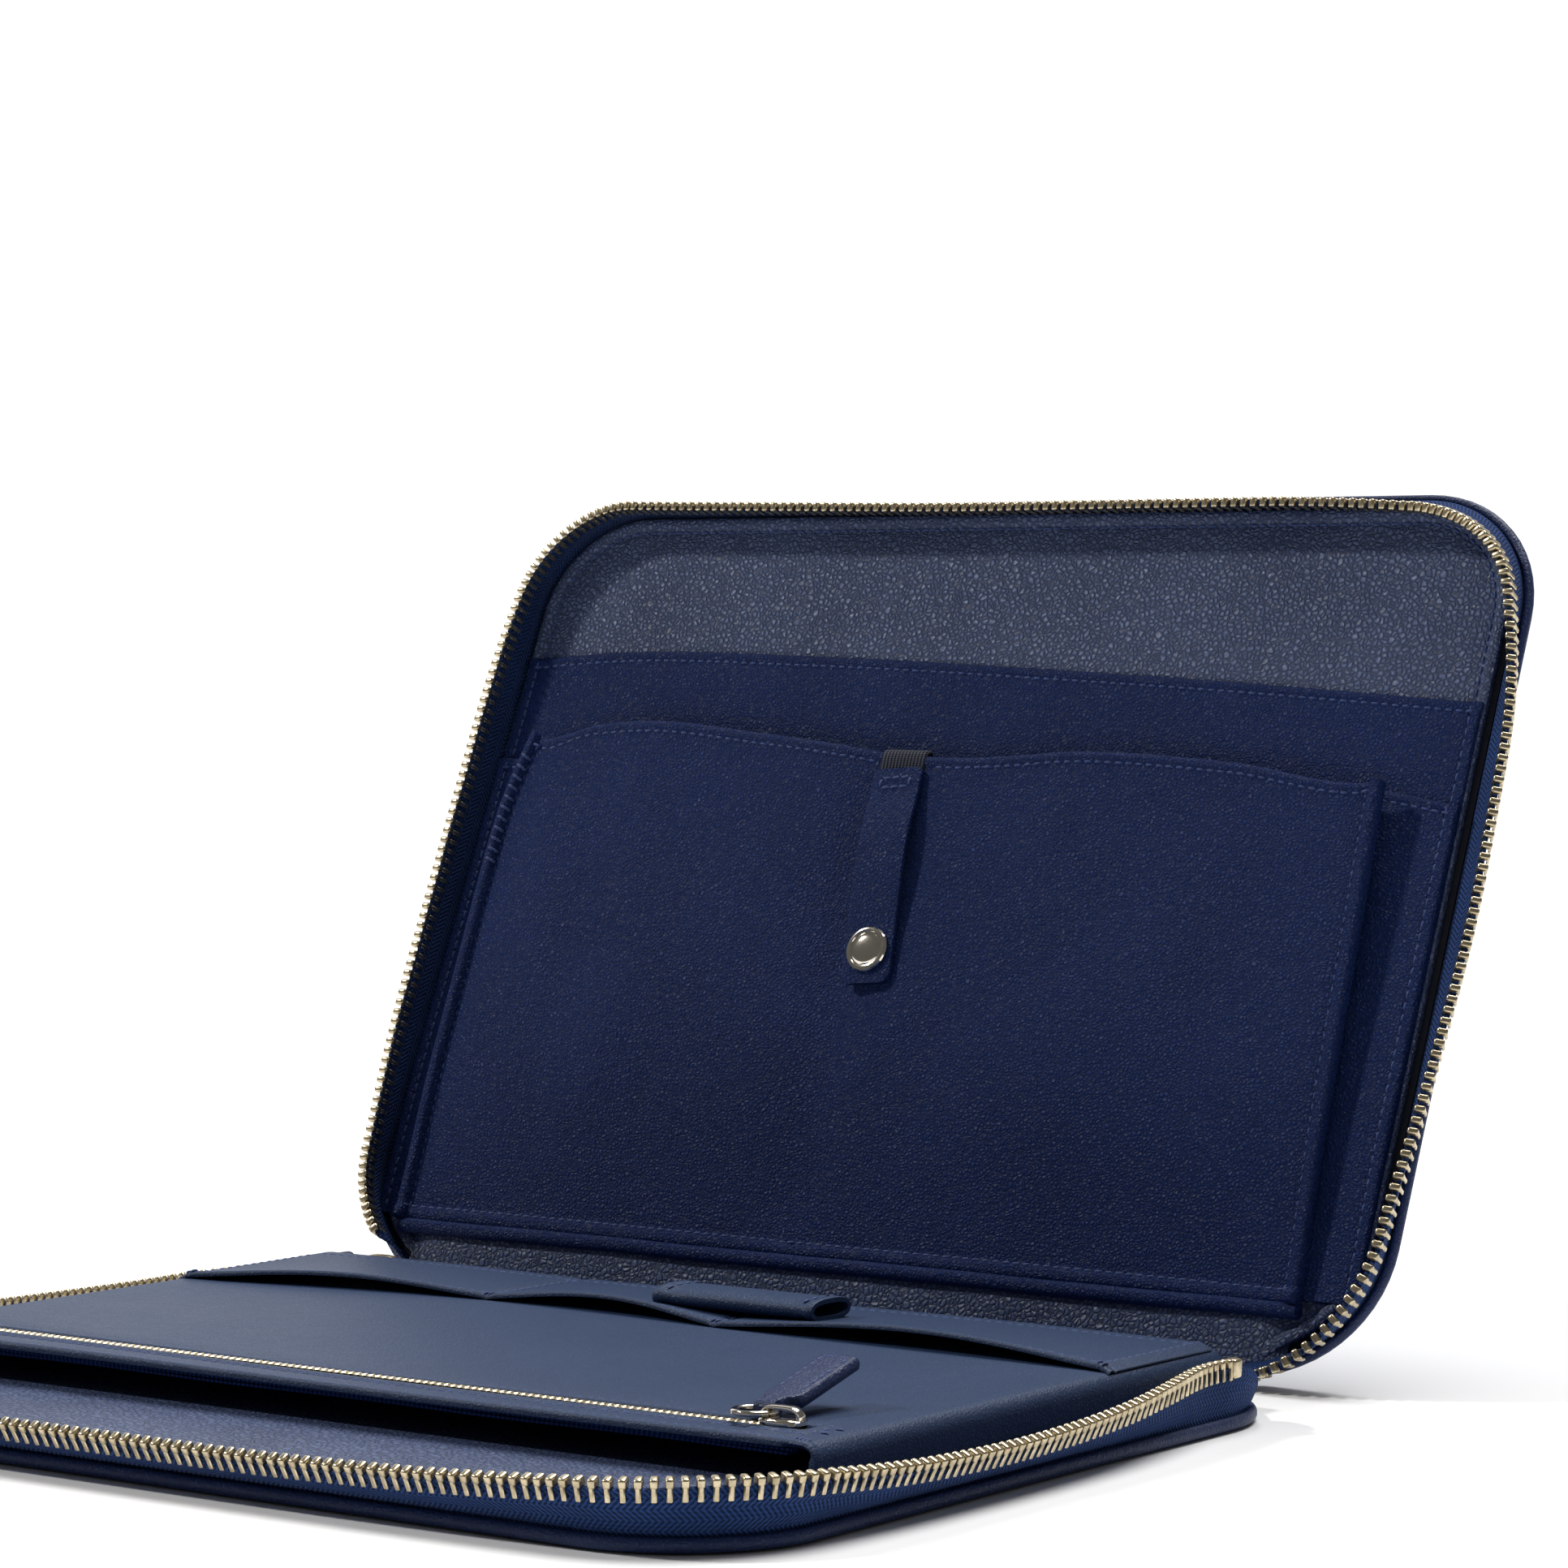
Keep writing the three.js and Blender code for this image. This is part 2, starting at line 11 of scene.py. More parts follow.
import bmesh
import bpy
import numpy as np
from mathutils import Matrix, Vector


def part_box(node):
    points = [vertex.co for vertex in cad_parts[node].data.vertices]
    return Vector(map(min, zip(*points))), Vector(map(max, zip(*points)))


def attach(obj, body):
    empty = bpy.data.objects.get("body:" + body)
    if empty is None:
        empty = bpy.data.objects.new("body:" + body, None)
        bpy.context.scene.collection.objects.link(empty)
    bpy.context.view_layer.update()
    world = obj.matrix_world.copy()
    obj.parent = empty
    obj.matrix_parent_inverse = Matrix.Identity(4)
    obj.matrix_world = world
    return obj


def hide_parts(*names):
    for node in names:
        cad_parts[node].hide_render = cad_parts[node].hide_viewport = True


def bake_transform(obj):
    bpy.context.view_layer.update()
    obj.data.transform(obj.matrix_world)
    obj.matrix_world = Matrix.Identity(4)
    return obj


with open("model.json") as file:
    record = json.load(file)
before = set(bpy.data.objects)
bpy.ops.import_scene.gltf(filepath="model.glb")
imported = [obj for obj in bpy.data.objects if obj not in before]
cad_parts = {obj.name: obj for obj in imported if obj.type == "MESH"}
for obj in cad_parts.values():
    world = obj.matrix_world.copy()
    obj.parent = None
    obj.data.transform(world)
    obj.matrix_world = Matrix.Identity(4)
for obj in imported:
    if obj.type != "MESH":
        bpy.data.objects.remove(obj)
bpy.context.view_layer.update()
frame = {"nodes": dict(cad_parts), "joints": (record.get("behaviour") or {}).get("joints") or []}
scene = bpy.context.scene

MM = 0.001
JOINTS = {joint["name"]: joint for joint in frame["joints"]}


def cad_box_mm(node):
    low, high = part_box(node)
    return np.array(low) / MM, np.array(high) / MM


# ---- camera

CAMERA_PLACE = (0.5803, -0.7156, 0.1490)
CAMERA_YAW = 35.07
CAMERA_PITCH = -1.458
CAMERA_ROLL = 0.43
CAMERA_LENS = 105.8


def make_camera():
    camera = bpy.data.objects.new("camera", bpy.data.cameras.new("camera"))
    scene.collection.objects.link(camera)
    camera.data.lens = CAMERA_LENS
    camera.data.sensor_width = 36
    camera.data.clip_start = 0.01
    camera.data.clip_end = 100
    turn = (
        Matrix.Rotation(math.radians(CAMERA_YAW), 4, "Z")
        @ Matrix.Rotation(math.radians(90 + CAMERA_PITCH), 4, "X")
        @ Matrix.Rotation(math.radians(CAMERA_ROLL), 4, "Z")
    )
    camera.matrix_world = Matrix.Translation(CAMERA_PLACE) @ turn
    scene.camera = camera


make_camera()


# ---- places taken from the frame

HALF_WIDTH, HALF_DEPTH, _ = cad_box_mm("lower_cover")[1]
CORNER_RADIUS = 30.0
CORNER_ARC = CORNER_RADIUS * math.pi / 2
SIDE_LENGTH = 2 * (HALF_DEPTH - CORNER_RADIUS)
FRONT_LENGTH = 2 * (HALF_WIDTH - CORNER_RADIUS)
EDGE_LENGTH = 4 * CORNER_ARC + 2 * SIDE_LENGTH + FRONT_LENGTH

SPINE_HINGE = np.array(JOINTS["spine_fold"]["pos_m"]) / MM
LID_HINGE = np.array(JOINTS["lid_fold"]["pos_m"]) / MM
LID_ANGLE = math.radians(-JOINTS["lid_fold"]["range_deg"][0])

LINING_TOP = cad_box_mm("lower_lining")[1][2]
TAPE_BASE = cad_box_mm("lower_zip_tape")[0][2]
PANEL_LOW, PANEL_HIGH = cad_box_mm("pocket_panel")

FRONT_BOTTOM = -87.5
FRONT_BASE = 6.7
FRONT_SLOPE = 4.4 / 124.5
STRAP_X = -8.0
STRAP_HINGE = 116.0
STRAP_TURN = math.acos(JOINTS["strap_swing"]["axis"][0])

RIGHT, BACK, UP = np.eye(3)


def columns(*values):
    """Points from their coordinates, each an array or a single number."""
    return np.stack(np.broadcast_arrays(*values), -1).astype(float)


def xyz(points):
    return np.asarray(points, float).reshape(-1, 3).T


def turned(a, b, angle):
    """The pair of coordinates (a, b) turned by an angle."""
    c, s = math.cos(angle), math.sin(angle)
    return a * c - b * s, a * s + b * c


def lower_place(points):
    return np.asarray(points, float) * MM


def lid_place(points):
    """Flat lid frame to row frame."""
    x, y, w = xyz(points)
    y, z = turned(y + HALF_DEPTH, w - LID_HINGE[2], LID_ANGLE)
    return columns(x, LID_HINGE[1] + y, LID_HINGE[2] + z) * MM


def lid_shell_place(points):
    """Shell frame to row frame, for the lid."""
    return lid_place(np.asarray(points, float).reshape(-1, 3) * [1, -1, 1])


def leaning_place(points):
    """Frame of the front leaf's outer side: Y along the leaf from its bottom seam, Z out of it."""
    x, y, z = xyz(points)
    y, z = turned(y, z, math.atan(FRONT_SLOPE))
    return lid_place(columns(x, FRONT_BOTTOM + y, FRONT_BASE + z))


def strap_place(points):
    """The strap's own frame: its hinge at the origin, the strap hanging down -Y and turned a little."""
    x, y, z = xyz(points)
    x, y = turned(x, y, STRAP_TURN)
    return leaning_place(columns(STRAP_X + x, STRAP_HINGE + y, z))


PLACES = {"lid": lid_place, "strap": strap_place}


# ---- mesh helpers


def smoothstep(t):
    t = np.clip(t, 0, 1)
    return t * t * (3 - 2 * t)


def bump(t):
    """A smooth hill over -1..1."""
    t = np.clip(np.abs(t), 0, 1)
    return (1 - t * t) ** 2


def make_piece(name, points, faces, material, smooth=40.0, uv=None):
    """A mesh object from row-frame metres, with outward faces and creases sharper than the smooth angle."""
    data = bpy.data.meshes.new(name)
    data.from_pydata(np.asarray(points, float).tolist(), [], [list(map(int, f)) for f in faces])
    if uv is not None:
        layer = data.uv_layers.new(name="weave")
        index = np.zeros(len(data.loops), np.int32)
        data.loops.foreach_get("vertex_index", index)
        layer.data.foreach_set("uv", np.asarray(uv, np.float32)[index].ravel())
    made = bmesh.new()
    made.from_mesh(data)
    bmesh.ops.recalc_face_normals(made, faces=made.faces)
    made.to_mesh(data)
    made.free()
    data.shade_smooth()
    data.set_sharp_from_angle(angle=math.radians(smooth))
    data.materials.append(material)
    piece = bpy.data.objects.new(name, data)
    scene.collection.objects.link(piece)
    return piece


def label(replaces):
    if replaces:
        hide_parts(*replaces)


def add_piece(name, shape, material, body, replaces=(), place=None, slot=None, **options):
    """A piece from (points, faces) in the millimetres of its body's own frame."""
    points, faces = shape
    place = place or PLACES.get(body, lower_place)
    piece = make_piece(name, place(points), faces, material, **options)
    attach(piece, body)
    label(replaces)
    return piece


def ring_faces(rows, across, closed_rows=False):
    """Faces between loops of points that are closed along each row."""
    faces = []
    for r in range(rows if closed_rows else rows - 1):
        a, b = r * across, ((r + 1) % rows) * across
        for c in range(across):
            d = (c + 1) % across
            faces.append((a + c, a + d, b + d, b + c))
    if not closed_rows:
        faces.append(tuple(range(across))[::-1])
        faces.append(tuple((rows - 1) * across + c for c in range(across)))
    return faces


def stacked(rings, closed_rows=False):
    """A solid from a list of closed rings of points."""
    return np.concatenate(rings), ring_faces(len(rings), len(rings[0]), closed_rows)


def grid_solid(top, under, open_cells=None):
    """A closed skin between two grids of points. open_cells marks the cells that are a hole."""
    rows, across = top.shape[:2]
    count = rows * across
    solid = ~open_cells if open_cells is not None else np.ones((rows - 1, across - 1), bool)
    faces = []

    def there(r, c):
        return 0 <= r < rows - 1 and 0 <= c < across - 1 and solid[r, c]

    for r in range(rows - 1):
        for c in range(across - 1):
            if not solid[r, c]:
                continue
            corner = [r * across + c, r * across + c + 1, (r + 1) * across + c + 1, (r + 1) * across + c]
            faces.append(tuple(corner))
            faces.append(tuple(count + i for i in reversed(corner)))
            beside = [there(r - 1, c), there(r, c + 1), there(r + 1, c), there(r, c - 1)]
            for side in range(4):
                if not beside[side]:
                    a, b = corner[side], corner[(side + 1) % 4]
                    faces.append((b, a, a + count, b + count))
    points = np.concatenate([top.reshape(-1, 3), under.reshape(-1, 3)])
    used = np.unique(np.concatenate([np.array(f) for f in faces]))
    new = -np.ones(2 * count, int)
    new[used] = np.arange(len(used))
    return points[used], [tuple(new[list(f)]) for f in faces]


def merged(parts):
    """Several (points, faces) lists as one."""
    points, faces, base = [], [], 0
    for p, f in parts:
        points.append(np.asarray(p, float).reshape(-1, 3))
        faces += [tuple(i + base for i in face) for face in f]
        base += len(points[-1])
    return np.concatenate(points), faces


def scattered(template, origins, *axes):
    """Copies of a small (points, faces) template, one on each frame of three axes."""
    points, faces = template
    points = np.asarray(points, float)
    made = origins[:, None, :]
    for k, axis in enumerate(axes):
        made = made + points[None, :, k, None] * np.broadcast_to(axis, origins.shape)[:, None, :]
    copies = [tuple(v + i * len(points) for v in face) for i in range(len(origins)) for face in faces]
    return made.reshape(-1, 3), copies


def rounded_block(low, high, radius, segments=2):
    """A box with rounded edges, as (points, faces)."""
    made = bmesh.new()
    bmesh.ops.create_cube(made, size=1)
    low, high = np.array(low, float), np.array(high, float)
    for vertex in made.verts:
        vertex.co = (low + high) / 2 + np.array(vertex.co) * (high - low)
    bmesh.ops.bevel(made, geom=made.edges[:], offset=radius, segments=segments, profile=0.5, affect="EDGES")
    made.verts.ensure_lookup_table()
    points = np.array([v.co[:] for v in made.verts])
    faces = [tuple(v.index for v in f.verts) for f in made.faces]
    made.free()
    return points, faces


def unit(vectors):
    vectors = np.asarray(vectors, float)
    return vectors / np.linalg.norm(vectors, axis=-1, keepdims=True)


def tangents(path):
    return unit(np.gradient(path, axis=0))


def path_length(path):
    steps = np.linalg.norm(np.diff(path, axis=0), axis=1)
    return np.concatenate([[0], np.cumsum(steps)])


def resampled(path, distances, *others):
    """The path, and arrays that go with it, at the given distances along it."""
    along = path_length(path)
    out = []
    for values in (path, *others):
        values = np.asarray(values, float)
        out.append(np.stack([np.interp(distances, along, values[:, k]) for k in range(values.shape[1])], 1))
    return out


def smoothed(path, count, rounds=3):
    """The path as count even points, then softened a few rounds."""
    path = resampled(path, np.linspace(0, path_length(path)[-1], count))[0]
    for k in range(rounds):
        path[1:-1] = (path[:-2] + path[1:-1] * 2 + path[2:]) / 4
    return path


def tube(path, across, up, section, closed=False):
    """A section of (across, up) pairs swept along a path."""
    across, up = np.broadcast_to(across, path.shape), np.broadcast_to(up, path.shape)
    return stacked([p + section[:, :1] * a + section[:, 1:] * u for p, a, u in zip(path, across, up)], closed)


def circle(steps):
    """Cosines and sines of even steps of a full turn."""
    turn = np.arange(steps) * 2 * math.pi / steps
    return np.cos(turn), np.sin(turn)


def signed_power(value, power):
    return np.sign(value) * np.abs(value) ** power


def round_section(width, height, steps=12, power=2.0):
    c, s = circle(steps)
    return columns(width / 2 * signed_power(c, 2 / power), height / 2 * signed_power(s, 2 / power))


def grid_uv(first, second):
    """UVs in millimetres for both skins of a grid solid."""
    uv = np.stack([first, second], 2).reshape(-1, 2)
    return np.concatenate([uv, uv])


# ---- materials


def make_node(tree, kind, inputs=None, **settings):
    """A node with its settings made and each of its inputs linked or set."""
    made = tree.nodes.new(kind)
    for key, value in settings.items():
        setattr(made, key, value)
    for key, value in (inputs or {}).items():
        if isinstance(value, bpy.types.NodeSocket):
            tree.links.new(value, made.inputs[key])
        else:
            made.inputs[key].default_value = value
    return made


class Shader:
    """A principled material and short ways to add nodes to it."""

    def __init__(self, name, roughness=0.5, metallic=0.0, specular=0.5, sheen=0.0):
        self.material = bpy.data.materials.new(name)
        self.material.use_nodes = True
        self.tree = self.material.node_tree
        self.surface = self.tree.nodes["Principled BSDF"]
        for socket, value in (("Roughness", roughness), ("Metallic", metallic),
                              ("Specular IOR Level", specular), ("Sheen Weight", sheen)):
            self.surface.inputs[socket].default_value = value

    def node(self, kind, inputs=None, **settings):
        return make_node(self.tree, kind, inputs, **settings)

    def math(self, operation, a, b=0.0):
        return self.node("ShaderNodeMath", {0: a, 1: b}, operation=operation).outputs[0]

    def add(self, a, b):
        return self.math("ADD", a, b)

    def times(self, a, b):
        return self.math("MULTIPLY", a, b)

    def wave(self, along, length):
        return self.mapped(self.math("SINE", self.times(along, 2 * math.pi / length)), -1, 1)

    def mapped(self, value, low, high, to_low=0.0, to_high=1.0):
        made = self.node("ShaderNodeMapRange", {"Value": value, "From Min": low, "From Max": high,
                                                "To Min": to_low, "To Max": to_high})
        return made.outputs["Result"]

    def mix(self, share, a, b):
        made = self.node("ShaderNodeMix", data_type="RGBA")
        colour_inputs = [s for s in made.inputs if s.type == "RGBA"]
        factor = [s for s in made.inputs if s.type == "VALUE"][0]
        for socket, value in ((factor, share), (colour_inputs[0], a), (colour_inputs[1], b)):
            if isinstance(value, bpy.types.NodeSocket):
                self.tree.links.new(value, socket)
            else:
                socket.default_value = value if socket is factor else (*value, 1)
        return [s for s in made.outputs if s.type == "RGBA"][0]

    def where(self):
        return self.node("ShaderNodeTexCoord").outputs["Object"]

    def noise(self, size_mm, detail=3.0, where=None, roughness=0.5):
        made = self.node("ShaderNodeTexNoise", {"Vector": where or self.where(), "Scale": 1000 / size_mm,
                                                "Detail": detail, "Roughness": roughness})
        return made.outputs["Fac"]

    def link(self, value, socket):
        self.tree.links.new(value, self.surface.inputs[socket])

    def bumped(self, height, distance_mm, under=None):
        inputs = {"Height": height, "Distance": distance_mm * MM}
        if under is not None:
            inputs["Normal"] = under
        return self.node("ShaderNodeBump", inputs).outputs["Normal"]


def leather(name, colour, dark, cell_mm, depth_mm, roughness, specular, crease=0.42, mottle=0.35,
            wrinkle_mm=0.45):
    """Grained leather: cells parted by fine creases painted darker, partly the leather's own colour and
    partly painted shade, with a soft mottle and small wrinkles.
    """
    s = Shader(name, roughness=roughness, specular=specular)
    where = s.where()
    wobble = s.node("ShaderNodeTexNoise", {"Vector": where, "Scale": 1000 / (cell_mm * 2.2), "Detail": 2.0})
    shift = s.node("ShaderNodeVectorMath", {0: wobble.outputs["Color"], 1: (0.5,) * 3}, operation="SUBTRACT")
    scaled = s.node("ShaderNodeVectorMath", {0: shift.outputs[0]}, operation="SCALE")
    scaled.inputs["Scale"].default_value = cell_mm * MM * 1.1
    warped = s.node("ShaderNodeVectorMath", {0: where, 1: scaled.outputs[0]}, operation="ADD").outputs[0]
    cells = s.node("ShaderNodeTexVoronoi", {"Vector": warped, "Scale": 1000 / cell_mm},
                   feature="DISTANCE_TO_EDGE")
    grain = s.mapped(cells.outputs["Distance"], 0.0, crease)
    fine = s.noise(cell_mm * 0.45, 2.0, where)
    broad = s.noise(38, 4.0, where, 0.6)
    normal = s.bumped(s.add(s.times(grain, 0.75), s.times(fine, 0.35)), depth_mm)
    normal = s.bumped(s.noise(7, 4.0, where, 0.6), wrinkle_mm, under=normal)
    s.link(normal, "Normal")
    # The grain's creases are painted darker: partly the leather's own colour, partly painted shade in the
    # grain's valleys.
    tint = s.mix(s.mapped(grain, 0.0, 1.0, 0.2, 1.0), dark, colour)
    s.link(s.mix(s.mapped(broad, 0.35, 0.7, 0.0, mottle), tint, dark), "Base Color")
    s.link(s.mapped(s.add(broad, grain), 0.4, 1.8, roughness + 0.1, roughness - 0.06), "Roughness")
    return s.material


def woven_tape(name, colour, dark, rib_mm=1.15, band_mm=2.3):
    """Zip tape: a herringbone of fine ribs that turn at each band. The UV map is in millimetres."""
    s = Shader(name, roughness=0.8, specular=0.12, sheen=0.04)
    uv = s.node("ShaderNodeUVMap", uv_map="weave").outputs["UV"]
    parts = s.node("ShaderNodeSeparateXYZ", {0: uv})
    along, across = parts.outputs[0], parts.outputs[1]
    zigzag = s.math("PINGPONG", across, band_mm)
    slanted = s.add(along, s.times(zigzag, 0.9))
    weave = s.add(s.wave(slanted, rib_mm), s.times(s.wave(across, rib_mm * 0.8), 0.35))
    s.link(s.bumped(s.add(weave, s.times(s.noise(0.5, 3.0), 0.4)), 0.3), "Normal")
    tint = s.mix(s.mapped(weave, 0.15, 1.1), dark, colour)
    s.link(s.mix(s.mapped(s.noise(22, 3.0), 0.35, 0.7, 0.0, 0.4), tint, dark), "Base Color")
    return s.material


def plated_metal(name, colour, dark, roughness, tarnish):
    """Plated metal, with duller darker patches and fine scratches."""
    s = Shader(name, roughness=roughness, metallic=1.0)
    where = s.where()
    patch = s.mapped(s.noise(2.6, 4.0, where, 0.6), 0.4, 0.72)
    s.link(s.mix(s.times(patch, tarnish), colour, dark), "Base Color")
    s.link(s.mapped(patch, 0, 1, roughness, roughness + 0.22 * tarnish), "Roughness")
    s.link(s.bumped(s.noise(0.7, 2.0, where), 0.012), "Normal")
    return s.material


def ribbed_webbing(name, colour, dark, rib_mm=0.9):
    s = Shader(name, roughness=0.85, specular=0.2, sheen=0.2)
    parts = s.node("ShaderNodeSeparateXYZ", {0: s.where()})
    rib = s.wave(parts.outputs[0], rib_mm * MM)
    cross = s.wave(parts.outputs[2], 0.5 * MM)
    s.link(s.bumped(s.add(rib, s.times(cross, 0.3)), 0.2), "Normal")
    s.link(s.mix(rib, dark, colour), "Base Color")
    return s.material


def thread_material(name, colour, dark):
    """Twisted sewing thread."""
    s = Shader(name, roughness=0.6, specular=0.35, sheen=0.2)
    s.link(s.mix(s.mapped(s.noise(0.4, 2.0), 0.35, 0.65), dark, colour), "Base Color")
    s.link(s.bumped(s.noise(0.22, 1.0), 0.05), "Normal")
    return s.material


def fibre_board(name):
    s = Shader(name, roughness=0.9, specular=0.2)
    s.link(s.mix(s.noise(1.4, 5.0), (0.010, 0.012, 0.020), (0.022, 0.025, 0.038)), "Base Color")
    s.link(s.bumped(s.noise(0.8, 4.0), 0.08), "Normal")
    return s.material


NAVY = leather("navy_leather", (0.0125, 0.0340, 0.148), (0.0034, 0.0095, 0.045),
               cell_mm=0.9, depth_mm=0.28, roughness=0.42, specular=0.11)
NAVY_PANEL = leather("navy_panel_leather", (0.0250, 0.0540, 0.130), (0.0120, 0.027, 0.070),
                     cell_mm=0.8, depth_mm=0.10, roughness=0.48, specular=0.28, mottle=0.2, wrinkle_mm=0.3)
OUTER = leather("outer_leather", (0.0200, 0.0410, 0.135), (0.0085, 0.0170, 0.062),
                cell_mm=0.85, depth_mm=0.12, roughness=0.4, specular=0.3)
PEBBLE = leather("lining_leather", (0.1000, 0.1400, 0.270), (0.0150, 0.0220, 0.058),
                 cell_mm=1.3, depth_mm=0.32, roughness=0.42, specular=0.3, crease=0.3)
TAPE = woven_tape("zip_fabric", (0.0310, 0.0850, 0.290), (0.0050, 0.0145, 0.055))
GOLD = plated_metal("zip_metal", (0.66, 0.56, 0.38), (0.22, 0.17, 0.10), roughness=0.27, tarnish=0.6)
NICKEL = plated_metal("polished_nickel", (0.80, 0.74, 0.64), (0.55, 0.48, 0.38), roughness=0.1, tarnish=0.3)
WEBBING = ribbed_webbing("strap_webbing", (0.024, 0.030, 0.055), (0.005, 0.006, 0.014))
THREAD = thread_material("thread", (0.0300, 0.0720, 0.250), (0.0090, 0.0230, 0.090))
BOARD = fibre_board("stiffener_board")


# ---- stitches

STITCH_PITCH = 2.6


def stitch_template(length=2.0, width=0.62, height=0.4):
    """One stitch: a short plump thread whose ends dive into the leather."""
    stations = np.array([-0.5, -0.42, -0.2, 0.2, 0.42, 0.5]) * length
    thick = [0.35, 0.8, 1.0, 1.0, 0.8, 0.35]
    rise = np.array([-0.55, -0.05, 0.25, 0.25, -0.05, -0.55]) * height
    y, z = round_section(1, 1, 6).T
    return stacked([columns(x, y * width * t, z * height * 1.5 * t + r)
                    for x, t, r in zip(stations, thick, rise)])


def stitch_row(path, normals=UP, pitch=STITCH_PITCH, template=None):
    """Stitches laid along a path, each standing on its surface normal."""
    path = np.asarray(path, float)
    total = path_length(path)[-1]
    count = max(1, int(total / pitch))
    at = (np.arange(count) + 0.5) * total / count
    normals = unit(np.broadcast_to(normals, path.shape))
    origins, up, forward = resampled(path, at, normals, tangents(path))
    forward = unit(forward)
    up = unit(up - forward * np.sum(up * forward, 1, keepdims=True))
    return scattered(template or stitch_template(), origins, forward, np.cross(up, forward), up)


def add_stitches(name, rows, body, **options):
    return add_piece(f"{name}_stitches", merged(rows), THREAD, body, smooth=60, **options)


# ---- outline of a shell


def edge_point(s, inset):
    """Place and outward direction at s along the zipped edge: rear left corner, left side, front, right."""
    s = np.clip(np.atleast_1d(np.asarray(s, float)), 0, EDGE_LENGTH)
    x, y = HALF_WIDTH - CORNER_RADIUS, HALF_DEPTH - CORNER_RADIUS
    lengths = [CORNER_ARC, SIDE_LENGTH, CORNER_ARC, FRONT_LENGTH, CORNER_ARC, SIDE_LENGTH, CORNER_ARC]
    starts = np.concatenate([[0], np.cumsum(lengths)])
    arcs = {0: (-x, y, 90), 2: (-x, -y, 180), 4: (x, -y, 270), 6: (x, y, 0)}
    sides = {1: ((-x, y), (-1, 0)), 3: ((-x, -y), (0, -1)), 5: ((x, -y), (1, 0))}
    part = np.clip(np.searchsorted(starts, s, side="right") - 1, 0, 6)
    place, out = np.zeros((2, len(s), 2))
    for i in range(len(s)):
        k = part[i]
        t = s[i] - starts[k]
        if k in arcs:
            cx, cy, first = arcs[k]
            turn = math.radians(first) + t / CORNER_RADIUS
            out[i] = math.cos(turn), math.sin(turn)
            place[i] = (cx, cy) + out[i] * (CORNER_RADIUS - inset)
        else:
            (cx, cy), n = sides[k]
            out[i] = n
            run = np.array([-n[1], n[0]], float)
            place[i] = np.array([cx, cy]) + np.array(n) * (CORNER_RADIUS - inset) + run * t
    return place, out


def full_loop(inset, arc_steps=14, side_steps=24):
    """The closed outline, rear edge included, moved in from the edge. Also says where the rear edge is."""
    radius = max(CORNER_RADIUS - inset, 2.0)
    x, y = HALF_WIDTH - inset - radius, HALF_DEPTH - inset - radius
    loop, rear = [], []
    for cx, cy, first in ((x, y, 0), (-x, y, 90), (-x, -y, 180), (x, -y, 270)):
        for i in range(arc_steps + 1):
            turn = math.radians(first + 90 * i / arc_steps)
            loop.append((cx + radius * math.cos(turn), cy + radius * math.sin(turn)))
            toward_rear = 90 * i / arc_steps if first == 0 else 90 - 90 * i / arc_steps
            rear.append(float(smoothstep((toward_rear - 62) / 28)) if first < 180 else 0.0)
        ends = {0: (-x, y + radius), 90: (-x - radius, -y),
                180: (x, -y - radius), 270: (x + radius, y)}[first]
        begin = np.array(loop[-1])
        for i in range(1, side_steps):
            loop.append(tuple(begin + (np.array(ends) - begin) * i / side_steps))
            rear.append(1.0 if first == 0 else 0.0)
    return np.array(loop), np.array(rear)


def ring_stack(section, floor=0.0, rear_shift=0.0, shift_range=(4.35, 12.0)):
    """A closed solid from rows of inset, level and level at the rear edge, which may reach further out."""
    rings = []
    for inset, level, rear_level in section:
        loop, rear = full_loop(inset)
        share = np.clip((shift_range[1] - inset) / (shift_range[1] - shift_range[0]), 0, 1)
        loop[:, 1] += rear * rear_shift * share
        rings.append(np.column_stack([loop, floor + level + rear * (rear_level - level)]))
    return stacked(rings)


# ---- the two shells

COVER_SECTION = [
    # inset, level at the rolled rim, level along the open rear edge
    (5.0, 0.0, 0.0), (1.7, 0.0, 0.0), (0.8, 0.1, 0.05), (0.2, 0.45, 0.2), (-0.1, 1.05, 0.5), (-0.1, 1.7, 0.8),
    (0.15, 2.35, 1.05), (0.65, 2.75, 1.15), (1.2, 2.75, 1.2), (1.65, 2.4, 1.2), (1.85, 1.9, 1.2),
    (2.2, 1.35, 1.2), (3.2, 1.2, 1.2), (6.0, 1.2, 1.2),
]
LINING_SECTION = [
    # inset, level over the lining's top at the beaded border, level along the rear edge
    (9.0, -0.8, -0.8), (5.0, -0.8, -0.8), (4.5, -0.5, -0.7), (4.35, 0.2, -0.5), (4.5, 0.75, -0.2),
    (5.0, 1.05, 0.0), (5.7, 1.12, 0.05), (6.5, 0.95, 0.08), (7.1, 0.5, 0.1), (7.5, 0.0, 0.1),
    (7.9, -0.12, 0.1), (8.3, 0.0, 0.1), (9.2, 0.1, 0.1), (12.0, 0.1, 0.1),
]
LINING_REAR_REACH = 3.4
LINING_SEAM = 7.9
TAPE_INSET = 2.3
TAPE_RISE = 1.7
LEAN_FROM = 3.6
TOOTH_REACH = 9.5
TAPE_STOPS_SHORT = 0.9
TAPE_HALF_THICK = 0.34
TOOTH_PITCH = 2.5

